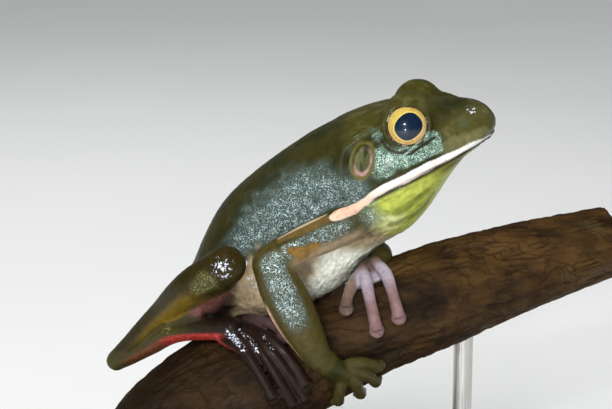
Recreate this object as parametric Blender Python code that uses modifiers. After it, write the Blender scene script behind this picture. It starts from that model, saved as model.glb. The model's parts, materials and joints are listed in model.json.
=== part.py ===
"""A still, life-size model of a white-lipped tree frog that grips a short cut branch on a display stand.

The frog's own frame is in millimetres: +X forward, +Y to its left, +Z up. place() moves it to the part's
frame in metres, whose origin is at the centre of the base's underside.
"""

import math

import bmesh
import bpy
from mathutils import Matrix, Vector

MM = 0.001
GAP = 0.3
RIGHT, LEFT = -1, 1

# Display stand, in millimetres
BASE_SIZE = (158.0, 104.0, 8.0)
BASE_CENTRE = (2.0, -8.0)
BASE_TOP = -95.0
BASE_BEVEL = 1.5
ROD_RADIUS = 2.6
ROD_AT = (-22.0, 38.0)

# Perch: the axis points (x, y, z) and radius of a cut branch, from its lower end forward
PERCH_AXIS = (
    (-44.0, -35.0, -71.0, 14.5),
    (-34.0, -30.5, -60.5, 15.5),
    (-20.0, -23.5, -51.2, 16.2),
    (-6.0, -17.5, -46.3, 15.2),
    (8.0, -12.3, -39.8, 13.4),
    (20.0, -7.0, -33.0, 14.2),
    (34.0, -1.0, -28.0, 14.2),
    (54.0, 8.0, -22.8, 12.3),
    (76.0, 18.0, -17.2, 10.0),
)
PERCH_SIDES = 18
BARK_RELIEF, BARK_INSET = 0.45, 0.5
AXIS_STEPS, RING_STEPS = 12, 4

# Head: pitched up, measured forward (f) and up (u) from the front of the mouth line
HEAD_PITCH = math.radians(30)
MOUTH_FRONT = (44.5, 0.0, 14.0)
# Stations: forward place, top, lip and throat heights, half width
HEAD_STATIONS = (
    (2.9, 6.2, 4.6, 3.6, 2.6),
    (2.2, 8.6, 3.6, 2.4, 5.2),
    (0.2, 11.2, 2.6, 1.6, 7.6),
    (-4.0, 14.2, 2.2, 0.6, 10.4),
    (-9.0, 16.8, 2.2, -0.9, 13.2),
    (-14.0, 19.4, 2.4, -3.2, 15.7),
    (-19.0, 21.4, 2.6, -6.0, 17.8),
    (-25.0, 22.9, 2.8, -9.0, 19.0),
    (-31.0, 23.7, 3.0, -11.0, 19.4),
)
EYE_AT = (-15.8, 12.7, 14.4)
EYE_AXIS = (0.27, 0.95, 0.13)
EYE_RADIUS = 5.6
EYE_RING = 2.4
LID_RADIUS = 0.8
BROW_RADIUS = 6.8
BROW_CROWN = (-15.0, 9.6, 16.2)
OPENING_SHARE, OPENING_START, OPENING_END = 0.9, 0.5, 14.0
NOSTRIL_AT = (-0.8, 4.6, 9.6)
NOSTRIL_SWELL, NOSTRIL_PIT = 1.9, 1.0
EAR_AT = (-29.2, 17.9, 12.4)
EAR_AXIS = (-0.22, 0.95, 0.22)
EAR_HALF = (3.2, 4.5)
EAR_DEPTH, EAR_OUT = -2.5, 6.0
# The fold of skin from the eye over the ear and down: head place and radius
EAR_FOLD = (
    (-21.3, 14.6, 15.9, 1.2),
    (-25.2, 16.2, 17.8, 1.3),
    (-31.7, 16.8, 17.0, 1.5),
    (-35.2, 18.2, 12.9, 1.6),
    (-37.7, 19.4, 6.4, 1.6),
)
MOUTH_LINE = (
    (0.6, 0.0, 0.6),
    (-0.6, 4.6, 0.9),
    (-5.0, 9.6, 1.3),
    (-10.0, 12.9, 1.7),
    (-15.0, 15.7, 2.1),
    (-20.0, 17.9, 2.4),
    (-26.0, 19.0, 2.7),
    (-33.0, 19.6, 3.0),
)
LIP_RADIUS = (1.3, 1.0)
# How far the lower lip is tucked in behind the upper one, at each place of the mouth line
LIP_TUCK = (1.8, 1.8, 1.2, 0.6, 0.2, 0.0, 0.0, 0.0)
LIP_BACK, LIP_SUNK, LIP_LEAD = 0.5, 0.62, 1.2
UPPER_LIP_RISE, LOWER_LIP_RISE = 1.0, -1.3
JAW_BACK = -33.0
JAW_BLOCK = (30.0, 60.0, 60.0)

# Torso: back point (x, z), belly point (x, z), half width and height of the widest place
TORSO_STATIONS = (
    ((0.9, 16.2), (16.5, -15.2), 19.2, 0.50),
    ((-5.0, 12.8), (11.5, -21.0), 18.6, 0.48),
    ((-12.2, 7.6), (7.0, -26.6), 19.0, 0.46),
    ((-20.5, 1.0), (1.0, -32.4), 19.8, 0.44),
    ((-27.4, -6.0), (-6.0, -37.0), 20.0, 0.42),
    ((-32.2, -14.3), (-15.0, -39.8), 19.0, 0.42),
    ((-36.0, -23.2), (-25.0, -41.2), 16.4, 0.44),
    ((-40.0, -30.0), (-33.5, -41.2), 12.4, 0.48),
    ((-44.4, -35.2), (-40.0, -41.0), 7.8, 0.50),
    ((-47.4, -38.4), (-45.4, -40.4), 3.0, 0.50),
)
# How square the sections are above and below the widest place; 2 is an ellipse
HEAD_ROUND, TORSO_ROUND = (2.15, 2.3), (2.1, 2.1)
NECK_TOP = (1.2, 17.6)
NECK_BOTTOM = (17.2, -15.0)

# Limbs: (x, y, z, radius) along each, y positive outward before the side's sign is applied
UPPER_ARM = {
    RIGHT: (
        (13.0, 12.0, -5.0, 6.0),
        (7.0, 21.0, -7.0, 5.2),
        (-2.0, 28.0, -10.5, 4.6),
        (-8.0, 31.0, -14.5, 4.9),
    ),
    LEFT: (
        (13.0, 12.0, -5.0, 6.0),
        (7.0, 21.0, -9.0, 5.2),
        (0.0, 26.5, -13.5, 4.6),
        (-4.0, 28.5, -18.0, 4.9),
    ),
}
FOREARM = {
    RIGHT: (
        (-8.0, 31.0, -14.5, 4.9),
        (-4.5, 31.5, -22.0, 5.9),
        (0.0, 31.8, -30.5, 5.3),
        (4.5, 31.6, -38.4, 3.6),
    ),
    LEFT: (
        (-4.0, 28.5, -18.0, 4.9),
        (2.0, 22.0, -21.0, 5.6),
        (9.0, 12.5, -22.0, 4.8),
        (14.0, 4.0, -20.2, 3.4),
    ),
}
THIGH = {
    RIGHT: (
        (-36.0, 6.0, -34.0, 6.6),
        (-31.0, 17.0, -29.5, 6.8),
        (-25.0, 28.0, -21.5, 6.0),
        (-18.0, 37.2, -14.0, 4.8),
    ),
    LEFT: (
        (-36.0, 6.0, -34.0, 6.6),
        (-31.0, 17.0, -30.0, 6.8),
        (-24.0, 28.0, -23.5, 6.0),
        (-16.5, 36.0, -17.5, 4.8),
    ),
}
SHANK = {
    RIGHT: (
        (-18.0, 37.2, -13.8, 5.1),
        (-28.5, 33.5, -21.1, 4.5),
        (-37.8, 27.3, -30.2, 3.3),
        (-45.2, 23.6, -38.2, 2.9),
        (-53.0, 20.0, -46.9, 2.7),
    ),
    LEFT: (
        (-16.5, 36.0, -17.3, 5.1),
        (-26.0, 32.5, -25.0, 4.1),
        (-38.0, 25.5, -36.0, 3.5),
        (-50.5, 18.5, -47.0, 2.7),
    ),
}
LIMB_MARGIN = 1.3
END_REACH = 12.0
JOINT_REACH = 6.0
END_FLARE = 1.5

# Hands and feet: palm or tarsus path (x, y, z, radius), then digits as places on the perch
# (x along the frog, degrees round the axis from the top to the right side)
PALM = {
    RIGHT: (
        (4.5, -31.6, -38.4, 3.6),
        (7.2, -30.0, -41.2, 3.3),
        (9.5, -27.6, -43.6, 2.8),
    ),
    LEFT: (
        (14.0, 4.0, -20.2, 3.4),
        (15.5, -1.5, -18.8, 3.1),
        (16.8, -6.8, -18.4, 2.8),
    ),
}
FINGERS = {
    RIGHT: (
        ((6.0, 92.0), (8.2, 97.0), (9.8, 104.0), (10.8, 113.0)),
        ((5.6, 95.0), (7.4, 108.0), (8.6, 121.0), (9.2, 135.0)),
        ((4.9, 98.0), (5.4, 114.0), (5.6, 130.0), (5.6, 145.0)),
        ((4.2, 97.0), (2.6, 108.0), (1.4, 119.0), (0.6, 130.0)),
    ),
    LEFT: (
        ((16.8, 11.0), (14.6, 21.0), (12.6, 30.0), (11.0, 39.0)),
        ((18.2, 4.0), (17.0, 28.0), (15.5, 52.0), (14.0, 75.0)),
        ((20.5, 6.0), (20.8, 30.0), (20.1, 52.0), (19.1, 75.0)),
        ((21.6, -16.0), (22.8, -30.0), (23.8, -44.0), (24.6, -58.0)),
    ),
}
TARSUS = {
    RIGHT: (
        (-53.0, -20.0, -47.2, 2.7),
        (-43.0, -23.5, -41.2, 2.7),
        (-33.5, -28.0, -34.9, 3.0),
        (-19.0, -28.8, -33.0, 3.0),
    ),
    LEFT: (
        (-50.5, 18.5, -47.0, 2.7),
        (-41.0, 12.5, -47.5, 2.4),
        (-30.0, 4.5, -47.8, 2.4),
        (-19.5, -4.0, -47.0, 2.9),
    ),
}
TOES = {
    RIGHT: (
        ((-14.0, 2.0), (-9.5, 15.0), (-6.0, 30.0), (-4.5, 41.0)),
        ((-15.0, 8.0), (-9.0, 39.0), (-5.5, 66.0), (-4.5, 91.0)),
        ((-16.0, 11.0), (-11.5, 42.0), (-8.0, 69.0), (-6.0, 104.0)),
        ((-17.0, 14.0), (-13.5, 39.0), (-11.0, 69.0), (-9.0, 104.0)),
        ((-18.5, 18.0), (-16.0, 42.0), (-14.5, 63.0), (-13.0, 90.0)),
    ),
    LEFT: (
        ((-17.0, -74.0), (-13.0, -68.0), (-9.5, -64.0), (-6.5, -61.0)),
        ((-16.5, -80.0), (-11.0, -76.0), (-6.0, -72.0), (-1.0, -69.0)),
        ((-16.5, -86.0), (-10.0, -84.0), (-3.5, -82.0), (3.0, -80.0)),
        ((-16.5, -92.0), (-9.5, -94.0), (-2.0, -96.0), (6.0, -98.0)),
        ((-17.5, -98.0), (-12.0, -104.0), (-6.0, -110.0), (0.0, -116.0)),
    ),
}
FINGER_RADIUS = 1.6
TOE_RADIUS = 1.4
DISC_RADIUS = 2.1
DISC_FLAT = 0.5
DISC_LIFT = 0.75
# Height over the perch and thickness at each place of a digit, as shares of its radius
DIGIT_ROOT = 1.15
DIGIT_LIFTS = (0.9, 1.0, 0.9, 0.8)
DIGIT_SWELLS = (0.95, 1.1, 0.95, 1.1)
WEB_TOP, WEB_THICKNESS = 0.9, 1.2

# Surface resolution, in millimetres, and triangles left in each region
BODY_VOXEL = 0.75
DIGIT_VOXEL = 0.5
BODY_SMOOTHING, DIGIT_SMOOTHING = 5, 2
HEAD_TRIANGLES = 3400
TRUNK_TRIANGLES = 2300
HAND_TRIANGLES = 560
FOOT_TRIANGLES = 760

SKIN = {"colour": (0.115, 0.125, 0.045, 1.0), "roughness": 0.32}
PALE_SKIN = {"colour": (0.48, 0.52, 0.36, 1.0), "roughness": 0.4}
LIMB_SKIN = {"colour": (0.13, 0.12, 0.055, 1.0), "roughness": 0.32}
DIGIT_SKIN = {"colour": (0.18, 0.09, 0.08, 1.0), "roughness": 0.3}
EARDRUM = {"colour": (0.22, 0.15, 0.10, 1.0), "roughness": 0.35}
EYE = {"colour": (0.55, 0.30, 0.05, 1.0), "roughness": 0.08}
BARK = {"colour": (0.09, 0.045, 0.025, 1.0), "roughness": 0.6}
STAND = {"colour": (0.05, 0.045, 0.04, 1.0), "roughness": 0.45}
ROD = {"colour": (0.55, 0.54, 0.52, 1.0), "roughness": 0.3, "metallic": 1.0}


def place(point):
    """A point of the frog's frame, in millimetres, as a point of the part's frame in metres."""
    x, y, z = point[:3]
    lift = BASE_SIZE[2] - BASE_TOP
    return Vector(((x - BASE_CENTRE[0]) * MM, (y - BASE_CENTRE[1]) * MM, (z + lift) * MM))


def head_point(f, y, u):
    """A place on the head, from its own forward, sideways and upward measures."""
    c, s = math.cos(HEAD_PITCH), math.sin(HEAD_PITCH)
    return Vector((MOUTH_FRONT[0] + f * c - u * s, y, MOUTH_FRONT[2] + f * s + u * c))


def head_direction(f, y, u):
    return (head_point(f, y, u) - Vector(MOUTH_FRONT)).normalized()


def smooth_path(points, steps):
    """Catmull-Rom points through the given (x, y, z, radius) points, with steps to each span."""
    rows = [Vector(p) for p in points]
    rows = [2 * rows[0] - rows[1], *rows, 2 * rows[-1] - rows[-2]]
    path = []
    for a, b, c, d in zip(rows, rows[1:], rows[2:], rows[3:]):
        for k in range(steps):
            t = k / steps
            bend, twist = 2 * a - 5 * b + 4 * c - d, 3 * b - 3 * c + d - a
            path.append(0.5 * (2 * b + (c - a) * t + bend * t**2 + twist * t**3))
    return [*path, rows[-2]]


def new_object(name, mesh, material=None):
    obj = bpy.data.objects.new(name, mesh)
    if material:
        obj.data.materials.clear()
        obj.data.materials.append(material)
    bpy.context.scene.collection.objects.link(obj)
    return obj


def object_from_bmesh(name, bm):
    bmesh.ops.recalc_face_normals(bm, faces=bm.faces)
    mesh = bpy.data.meshes.new(name)
    bm.to_mesh(mesh)
    bm.free()
    return new_object(name, mesh)


def remove(obj):
    mesh = obj.data
    bpy.data.objects.remove(obj)
    if mesh.users == 0:
        bpy.data.batch_remove([mesh])


def applied(obj):
    """The object with its modifiers worked into its mesh."""
    bpy.context.view_layer.update()
    graph = bpy.context.evaluated_depsgraph_get()
    mesh = bpy.data.meshes.new_from_object(obj.evaluated_get(graph))
    obj.modifiers.clear()
    old = obj.data
    obj.data = mesh
    bpy.data.batch_remove([old])
    return obj


def boolean(obj, cutter, operation):
    """The Boolean of two closed meshes, applied. MANIFOLD, as EXACT is slow on these fine surfaces."""
    modifier = obj.modifiers.new(operation, "BOOLEAN")
    modifier.operation = operation
    modifier.solver = "MANIFOLD"
    modifier.object = cutter
    return applied(obj)


def copied(obj, name):
    return new_object(name, obj.data.copy())


def loft(name, rings):
    """A closed skin over rings of the same number of points."""
    bm = bmesh.new()
    rows = [[bm.verts.new(place(p)) for p in ring] for ring in rings]
    for low, high in zip(rows, rows[1:]):
        for a, b, c, d in zip(low, low[1:] + low[:1], high[1:] + high[:1], high):
            bm.faces.new((a, b, c, d))
    bm.faces.new(rows[0])
    bm.faces.new(rows[-1])
    return object_from_bmesh(name, bm)


def tube(name, points, grow=0.0, steps=6, resolution=4):
    """A round limb: a curve through the points with their own radii, made a closed mesh."""
    curve = bpy.data.curves.new(name, "CURVE")
    curve.dimensions = "3D"
    curve.bevel_depth = MM
    curve.bevel_resolution = resolution
    curve.use_fill_caps = True
    path = smooth_path(points, steps)
    spline = curve.splines.new("POLY")
    spline.points.add(len(path) - 1)
    for node, row in zip(spline.points, path):
        node.co = (*place(row), 1.0)
        node.radius = row[3] + grow
    guide = new_object(name, curve)
    bpy.context.view_layer.update()
    graph = bpy.context.evaluated_depsgraph_get()
    mesh = bpy.data.meshes.new_from_object(guide.evaluated_get(graph))
    bpy.data.objects.remove(guide)
    bpy.data.batch_remove([curve])
    bm = bmesh.new()
    bm.from_mesh(mesh)
    bpy.data.batch_remove([mesh])
    bmesh.ops.remove_doubles(bm, verts=bm.verts, dist=1e-6)
    return object_from_bmesh(name, bm)


def ball(name, centre, radius, scale=(1, 1, 1), axis=None, segments=24):
    """An ellipsoid, its third measure along the axis where one is given."""
    bm = bmesh.new()
    bmesh.ops.create_uvsphere(bm, u_segments=segments, v_segments=segments // 2, radius=radius * MM)
    turn = axis.to_track_quat("Z", "Y").to_matrix().to_4x4() if axis else Matrix()
    stretch = Matrix.Diagonal((*scale, 1.0))
    bmesh.ops.transform(bm, matrix=Matrix.Translation(place(centre)) @ turn @ stretch, verts=bm.verts)
    return object_from_bmesh(name, bm)


def drum(name, centre, axis, radius, start, end, oval=(1, 1), segments=32):
    """A cylinder along the axis between two distances from the centre."""
    bm = bmesh.new()
    length = (end - start) * MM
    wide = radius * MM
    bmesh.ops.create_cone(bm, cap_ends=True, segments=segments, radius1=wide, radius2=wide, depth=length)
    turn = axis.to_track_quat("Z", "Y").to_matrix().to_4x4()
    middle = Vector(centre) + axis * (start + end) / 2
    stretch = Matrix.Diagonal((*oval, 1.0, 1.0))
    bmesh.ops.transform(bm, matrix=Matrix.Translation(place(middle)) @ turn @ stretch, verts=bm.verts)
    return object_from_bmesh(name, bm)


def ring(name, centre, axis, radius, thickness):
    """A torus round the axis."""
    path = []
    turn = axis.to_track_quat("Z", "Y").to_matrix()
    for k in range(33):
        angle = math.tau * k / 32
        spoke = turn @ Vector((math.cos(angle), math.sin(angle), 0.0))
        path.append((*(Vector(centre) + spoke * radius), thickness))
    return tube(name, path, steps=1, resolution=2)


def block(name, centre, size, turn=None):
    bm = bmesh.new()
    bmesh.ops.create_cube(bm, size=MM)
    frame = turn.to_4x4() if turn else Matrix()
    bmesh.ops.transform(
        bm, matrix=Matrix.Translation(place(centre)) @ frame @ Matrix.Diagonal((*size, 1.0)), verts=bm.verts
    )
    return object_from_bmesh(name, bm)


def half_space(name, point, normal, reach=160.0):
    """A large block on the side of the plane that the normal points to."""
    turn = normal.to_track_quat("Z", "Y").to_matrix()
    return block(name, Vector(point) + normal * reach / 2, (2 * reach, 2 * reach, reach), turn)


def joined(name, pieces):
    """One mesh object that holds the closed pieces as they are."""
    bm = bmesh.new()
    for piece in pieces:
        bm.from_mesh(piece.data)
        remove(piece)
    return object_from_bmesh(name, bm)


def fused(name, pieces, voxel, rounds):
    """The pieces run together into one smooth closed skin."""
    whole = joined(name, pieces)
    remesh = whole.modifiers.new("fuse", "REMESH")
    remesh.mode = "VOXEL"
    remesh.voxel_size = voxel * MM
    soften = whole.modifiers.new("soften", "SMOOTH")
    soften.factor = 0.5
    soften.iterations = rounds
    return largest_only(applied(whole))


def thinned(obj, triangles):
    """The same surface with about this many triangles."""
    bm = bmesh.new()
    bm.from_mesh(obj.data)
    bmesh.ops.triangulate(bm, faces=bm.faces)
    bm.to_mesh(obj.data)
    count = len(bm.faces)
    bm.free()
    decimate = obj.modifiers.new("thin", "DECIMATE")
    decimate.ratio = min(1.0, triangles / count)
    return applied(obj)


def largest_only(obj):
    """Keeps the largest closed surface, and drops scraps and sealed hollows."""
    bm = bmesh.new()
    bm.from_mesh(obj.data)
    left = set(bm.verts)
    groups = []
    while left:
        group = {left.pop()}
        edge = list(group)
        while edge:
            near = {e.other_vert(v) for v in edge for e in v.link_edges} - group
            group |= near
            edge = list(near)
        left -= group
        groups.append(group)
    groups.sort(key=len)
    for group in groups[:-1]:
        bmesh.ops.delete(bm, geom=list(group), context="VERTS")
    bm.to_mesh(obj.data)
    bm.free()
    return obj


def material(name, look):
    made = bpy.data.materials.new(name)
    made.use_nodes = True
    shader = made.node_tree.nodes["Principled BSDF"]
    shader.inputs["Base Color"].default_value = look["colour"]
    shader.inputs["Roughness"].default_value = look["roughness"]
    shader.inputs["Metallic"].default_value = look.get("metallic", 0.0)
    made.diffuse_color = look["colour"]
    return made


def finished(obj, name, look):
    """Names a node, gives it its own material and files it in the model's collection."""
    largest_only(obj)
    obj.name = name
    obj.data.name = name
    obj.data.materials.clear()
    obj.data.materials.append(material(name, look))
    obj.data.shade_smooth()
    obj.data.set_sharp_from_angle(angle=math.radians(40))
    bpy.context.scene.collection.objects.unlink(obj)
    MODEL.objects.link(obj)
    return obj


def side_name(side):
    return "right" if side == RIGHT else "left"


def sided(points, side):
    """Limb points with y measured outward, put on the given side."""
    return [(x, y * side, z, radius) for x, y, z, radius in points]


def body_ring(top, middle, bottom, half_width, high, low, count=36):
    """A cross-section through three points of the midline: its top, widest and bottom places."""
    points = []
    for k in range(count):
        angle = math.tau * k / count
        c, s = math.cos(angle), math.sin(angle)
        power = 2 / (high if s > 0 else low)
        across = math.copysign(abs(c) ** power, c) * half_width
        rise = abs(s) ** power
        end = top if s > 0 else bottom
        ahead, up = (centre + (far - centre) * rise for centre, far in zip(middle, end))
        points.append((ahead, across, up))
    return points


def head_rings():
    for f, top, lip, throat, half_width in HEAD_STATIONS:
        ends = [head_point(f, 0, u) for u in (top, lip, throat)]
        ends = [(p.x, p.z) for p in ends]
        yield body_ring(*ends, half_width, *HEAD_ROUND)


def torso_rings():
    for back, belly, half_width, share in TORSO_STATIONS:
        middle = [b + (t - b) * share for t, b in zip(back, belly)]
        yield body_ring(back, middle, belly, half_width, *TORSO_ROUND)


def lip_path(lip, rise, side):
    """The centre line of the upper or lower lip, which lies within the mouth line by most of its radius."""
    path = []
    for (f, y, u), tuck in zip(MOUTH_LINE, LIP_TUCK):
        back = LIP_BACK if rise > 0 else LIP_BACK + tuck
        inward = LIP_SUNK * lip + (0.0 if rise > 0 else 0.8 * tuck)
        size = lip if rise > 0 else lip - 0.12 * tuck
        lift = rise if rise > 0 else rise + 0.2 * tuck
        path.append((*head_point(f - back, max(y - inward, 0.0) * side, u + lift), size))
    f, _, u = MOUTH_LINE[0]
    if rise > 0:
        path[0] = (*head_point(f + LIP_LEAD - LIP_SUNK * lip, 0.0, u + rise), lip)
    return path


def head_pieces():
    """Brows, lids, lips, nostril swellings and the folds behind the eyes."""
    pieces = []
    for side in (RIGHT, LEFT):
        eye = head_point(EYE_AT[0], EYE_AT[1] * side, EYE_AT[2])
        axis = head_direction(EYE_AXIS[0], EYE_AXIS[1] * side, EYE_AXIS[2])
        brow = ball("brow", eye, BROW_RADIUS, segments=32)
        clear = BROW_RADIUS + 2
        front = drum("front", eye, axis, clear, EYE_RING, clear)
        pieces.append(boolean(brow, front, "DIFFERENCE"))
        remove(front)
        f, y, u = BROW_CROWN
        pieces.append(ball("crown", head_point(f, y * side, u), BROW_RADIUS, segments=32))
        pieces.append(ring("lid", eye + axis * EYE_RING, axis, EYE_RADIUS + 0.45, LID_RADIUS))
        f, y, u = NOSTRIL_AT
        pieces.append(ball("nostril", head_point(f - 0.3, (y - 0.6) * side, u - 0.4), NOSTRIL_SWELL))
        fold = [(*head_point(f, y * side, u), radius) for f, y, u, radius in EAR_FOLD]
        pieces.append(tube("ear_fold", fold))
        for lip, rise in ((LIP_RADIUS[0], UPPER_LIP_RISE), (LIP_RADIUS[1], LOWER_LIP_RISE)):
            pieces.append(tube("lip", lip_path(lip, rise, side), steps=3))
    return pieces


def make_body():
    """Head, torso, arms, thighs and shanks as one fused skin."""
    trunk = loft("trunk", [*head_rings(), *torso_rings()])
    pieces = [trunk, *head_pieces()]
    for side in (RIGHT, LEFT):
        for limb in (UPPER_ARM, FOREARM, THIGH, SHANK):
            points = sided(limb[side], side)
            pieces.append(tube("limb", points))
            for x, y, z, radius in (points[0], points[-1]):
                pieces.append(ball("end", (x, y, z), radius))
    return fused("body", pieces, BODY_VOXEL, BODY_SMOOTHING)


def perch_axis(x):
    """The perch's centre, forward direction and radius where its axis has this x."""
    path = smooth_path(PERCH_AXIS, AXIS_STEPS)
    for a, b in zip(path, path[1:]):
        if a.x <= x <= b.x:
            row = a.lerp(b, (x - a.x) / (b.x - a.x))
            return row.xyz, (b.xyz - a.xyz).normalized(), row[3]
    raise ValueError(x)


def on_perch(x, degrees, lift):
    """A point over the perch's surface, turned from its top towards the frog's right."""
    centre, forward, radius = perch_axis(x)
    up = (Vector((0, 0, 1)) - forward * forward.z).normalized()
    out = forward.cross(up)
    angle = math.radians(degrees)
    return centre + (up * math.cos(angle) + out * math.sin(angle)) * (radius + lift)


def perch_rings(grow=0.0):
    path = smooth_path(PERCH_AXIS, RING_STEPS)
    rings = []
    for i, row in enumerate(path):
        ahead = path[min(i + 1, len(path) - 1)].xyz - path[max(i - 1, 0)].xyz
        forward = ahead.normalized()
        up = (Vector((0, 0, 1)) - forward * forward.z).normalized()
        out = forward.cross(up)
        points = []
        for k in range(PERCH_SIDES):
            angle = math.tau * k / PERCH_SIDES
            relief = math.sin(3 * angle + 0.31 * i) + 0.6 * math.sin(7 * angle - 0.5 * i)
            radius = row[3] - BARK_INSET + BARK_RELIEF * relief + grow
            points.append(row.xyz + (up * math.cos(angle) + out * math.sin(angle)) * radius)
        rings.append(points)
    if grow:
        ends = (path[0].xyz - path[1].xyz).normalized(), (path[-1].xyz - path[-2].xyz).normalized()
        rings[0] = [p + ends[0] * grow for p in rings[0]]
        rings[-1] = [p + ends[1] * grow for p in rings[-1]]
    return rings


def digit(base, places, radius, disc):
    """A finger or toe from the palm along the perch, with a flat round disc at its tip."""
    points = [(*base, radius * DIGIT_ROOT)]
    for place_on, lift, swell in zip(places, DIGIT_LIFTS, DIGIT_SWELLS):
        points.append((*on_perch(*place_on, lift * radius), swell * radius))
    tip = on_perch(*places[-1], DISC_LIFT)
    below = on_perch(*places[-1], -DISC_LIFT)
    pad = ball("disc", tip, disc, scale=(1, 1, DISC_FLAT), axis=(tip - below).normalized())
    return [tube("digit", points, steps=4, resolution=2), pad]


def make_paw(name, path, digits, radius, disc, triangles):
    """A hand or foot: its palm or tarsus, its digits and the web between their roots."""
    pieces = [tube("palm", path)]
    for x, y, z, size in (path[0], path[-1]):
        pieces.append(ball("end", (x, y, z), size))
    base = path[-1][:3]
    for places in digits:
        pieces.extend(digit(base, places, radius, disc))
    for first, second in zip(digits, digits[1:]):
        pieces.append(web(base, first, second))
    paw = fused(name, pieces, DIGIT_VOXEL, DIGIT_SMOOTHING)
    return thinned(paw, triangles)


def web(base, first, second):
    """The skin between two digits, as a thin wedge that follows them to their second joints."""
    bm = bmesh.new()
    rows = []
    for near, far in zip(first[:2], second[:2]):
        tops = [on_perch(*near, WEB_TOP), on_perch(*far, WEB_TOP)]
        lows = [on_perch(*far, WEB_TOP - WEB_THICKNESS), on_perch(*near, WEB_TOP - WEB_THICKNESS)]
        rows.append([*tops, *lows])
    rows.insert(0, [Vector(base).lerp(p, 0.25) for p in rows[0]])
    made = [[bm.verts.new(place(p)) for p in row] for row in rows]
    for low, high in zip(made, made[1:]):
        for a, b, c, d in zip(low, low[1:] + low[:1], high[1:] + high[:1], high):
            bm.faces.new((a, b, c, d))
    bm.faces.new(made[0])
    bm.faces.new(made[-1])
    return object_from_bmesh("web", bm)


def cut_off(body, name, region, wider, look):
    """Takes the region's share of the body as its own node and leaves a gap round it."""
    node = boolean(copied(body, name), region, "INTERSECT")
    boolean(body, wider, "DIFFERENCE")
    remove(region)
    remove(wider)
    return finished(node, name, look)


def part_limbs(trunk):
    """The four lengths of limb on each side, cut from the trunk one after another."""
    limbs = (
        ("forearm", FOREARM, LIMB_SKIN),
        ("upper_arm", UPPER_ARM, LIMB_SKIN),
        ("shank", SHANK, LIMB_SKIN),
        ("thigh", THIGH, LIMB_SKIN),
    )
    for name, limb, look in limbs:
        for side in (RIGHT, LEFT):
            points = sided(limb[side], side)
            if name in ("forearm", "shank"):
                points = stretched(points, END_REACH)
                points = stretched(points[::-1], JOINT_REACH)
            region = tube("region", points, LIMB_MARGIN, steps=3, resolution=2)
            wider = tube("wider", points, LIMB_MARGIN + GAP, steps=3, resolution=2)
            cut_off(trunk, f"{name}_{side_name(side)}", region, wider, look)


def stretched(points, more):
    """The same limb run on past its last point, so that all of that end falls in its region."""
    last, before = Vector(points[-1][:3]), Vector(points[-2][:3])
    along = (last - before).normalized()
    return [*points, (*(last + along * more), points[-1][3] + END_FLARE)]


def end_plane(points, nudge):
    """The plane across the far end of a limb, moved along it."""
    last, before = Vector(points[-1][:3]), Vector(points[-2][:3])
    along = (last - before).normalized()
    return last + along * nudge, along


def make_perch():
    perch = loft("perch", perch_rings())
    finished(perch, "perch_branch", BARK)


def make_stand():
    centre = (*BASE_CENTRE, BASE_TOP - BASE_SIZE[2] / 2)
    base = block("base", centre, BASE_SIZE)
    bevel = base.modifiers.new("edges", "BEVEL")
    bevel.width = BASE_BEVEL * MM
    bevel.segments = 3
    finished(applied(base), "stand_base", STAND)
    solid = loft("perch_gap", perch_rings(GAP))
    for number, x in enumerate(ROD_AT, 1):
        centre, _, radius = perch_axis(x)
        foot = Vector((centre.x, centre.y, BASE_TOP + GAP))
        height = centre.z - foot.z
        rod = drum("rod", foot, Vector((0, 0, 1)), ROD_RADIUS, 0.0, height, segments=24)
        boolean(rod, solid, "DIFFERENCE")
        finished(rod, f"stand_rod_{number}", ROD)
    remove(solid)


def main():
    global MODEL
    for old in list(bpy.data.objects):
        bpy.data.objects.remove(old)
    MODEL = bpy.data.collections.new("tree_frog_model")
    bpy.context.scene.collection.children.link(MODEL)

    make_perch()
    make_stand()
    perch = loft("perch_gap", perch_rings(GAP))
    body = make_body()

    neck = Vector((NECK_BOTTOM[0] - NECK_TOP[0], 0, NECK_BOTTOM[1] - NECK_TOP[1])).normalized()
    forward = Vector((-neck.z, 0, neck.x))
    cut = Vector((NECK_TOP[0], 0, NECK_TOP[1]))
    front = half_space("front", cut + forward * GAP / 2, forward)
    rear = half_space("rear", cut - forward * GAP / 2, -forward)
    head = boolean(copied(body, "head"), front, "INTERSECT")
    trunk = boolean(body, rear, "INTERSECT")
    for helper in (front, rear):
        remove(helper)
    head = thinned(largest_only(head), HEAD_TRIANGLES)
    trunk = thinned(largest_only(trunk), TRUNK_TRIANGLES)
    boolean(trunk, perch, "DIFFERENCE")

    paws = []
    for side in (RIGHT, LEFT):
        word = side_name(side)
        hand = make_paw("hand", PALM[side], FINGERS[side], FINGER_RADIUS, DISC_RADIUS, HAND_TRIANGLES)
        paws.append((hand, f"hand_{word}", FOREARM[side], side))
        foot = make_paw("foot", TARSUS[side], TOES[side], TOE_RADIUS, DISC_RADIUS, FOOT_TRIANGLES)
        paws.append((foot, f"foot_{word}", SHANK[side], side))

    for paw, name, limb, side in paws:
        boolean(paw, perch, "DIFFERENCE")
        points = sided(limb, side)
        if name.startswith("hand"):
            at, along = end_plane(points, 0.0)
        else:
            at, along = heel_plane(points, TARSUS[side])
        beyond = half_space("beyond", at + along * GAP / 2, along)
        boolean(paw, beyond, "INTERSECT")
        remove(beyond)
        largest_only(paw)

    part_limbs(trunk)
    finished(trunk, "torso", SKIN)
    finish_head(head)
    trim_limb_ends(paws)
    for paw, name, _, _ in paws:
        partner = name.replace("hand", "forearm").replace("foot", "shank")
        for node in list(MODEL.objects):
            if node.name != partner and not node.name.startswith(("perch", "stand", "eye")):
                clear_of(paw, node)
        finished(paw, name, DIGIT_SKIN)
    remove(perch)


def box_of(obj):
    points = [obj.matrix_world @ vertex.co for vertex in obj.data.vertices]
    return [(min(p[i] for p in points), max(p[i] for p in points)) for i in range(3)]


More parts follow.
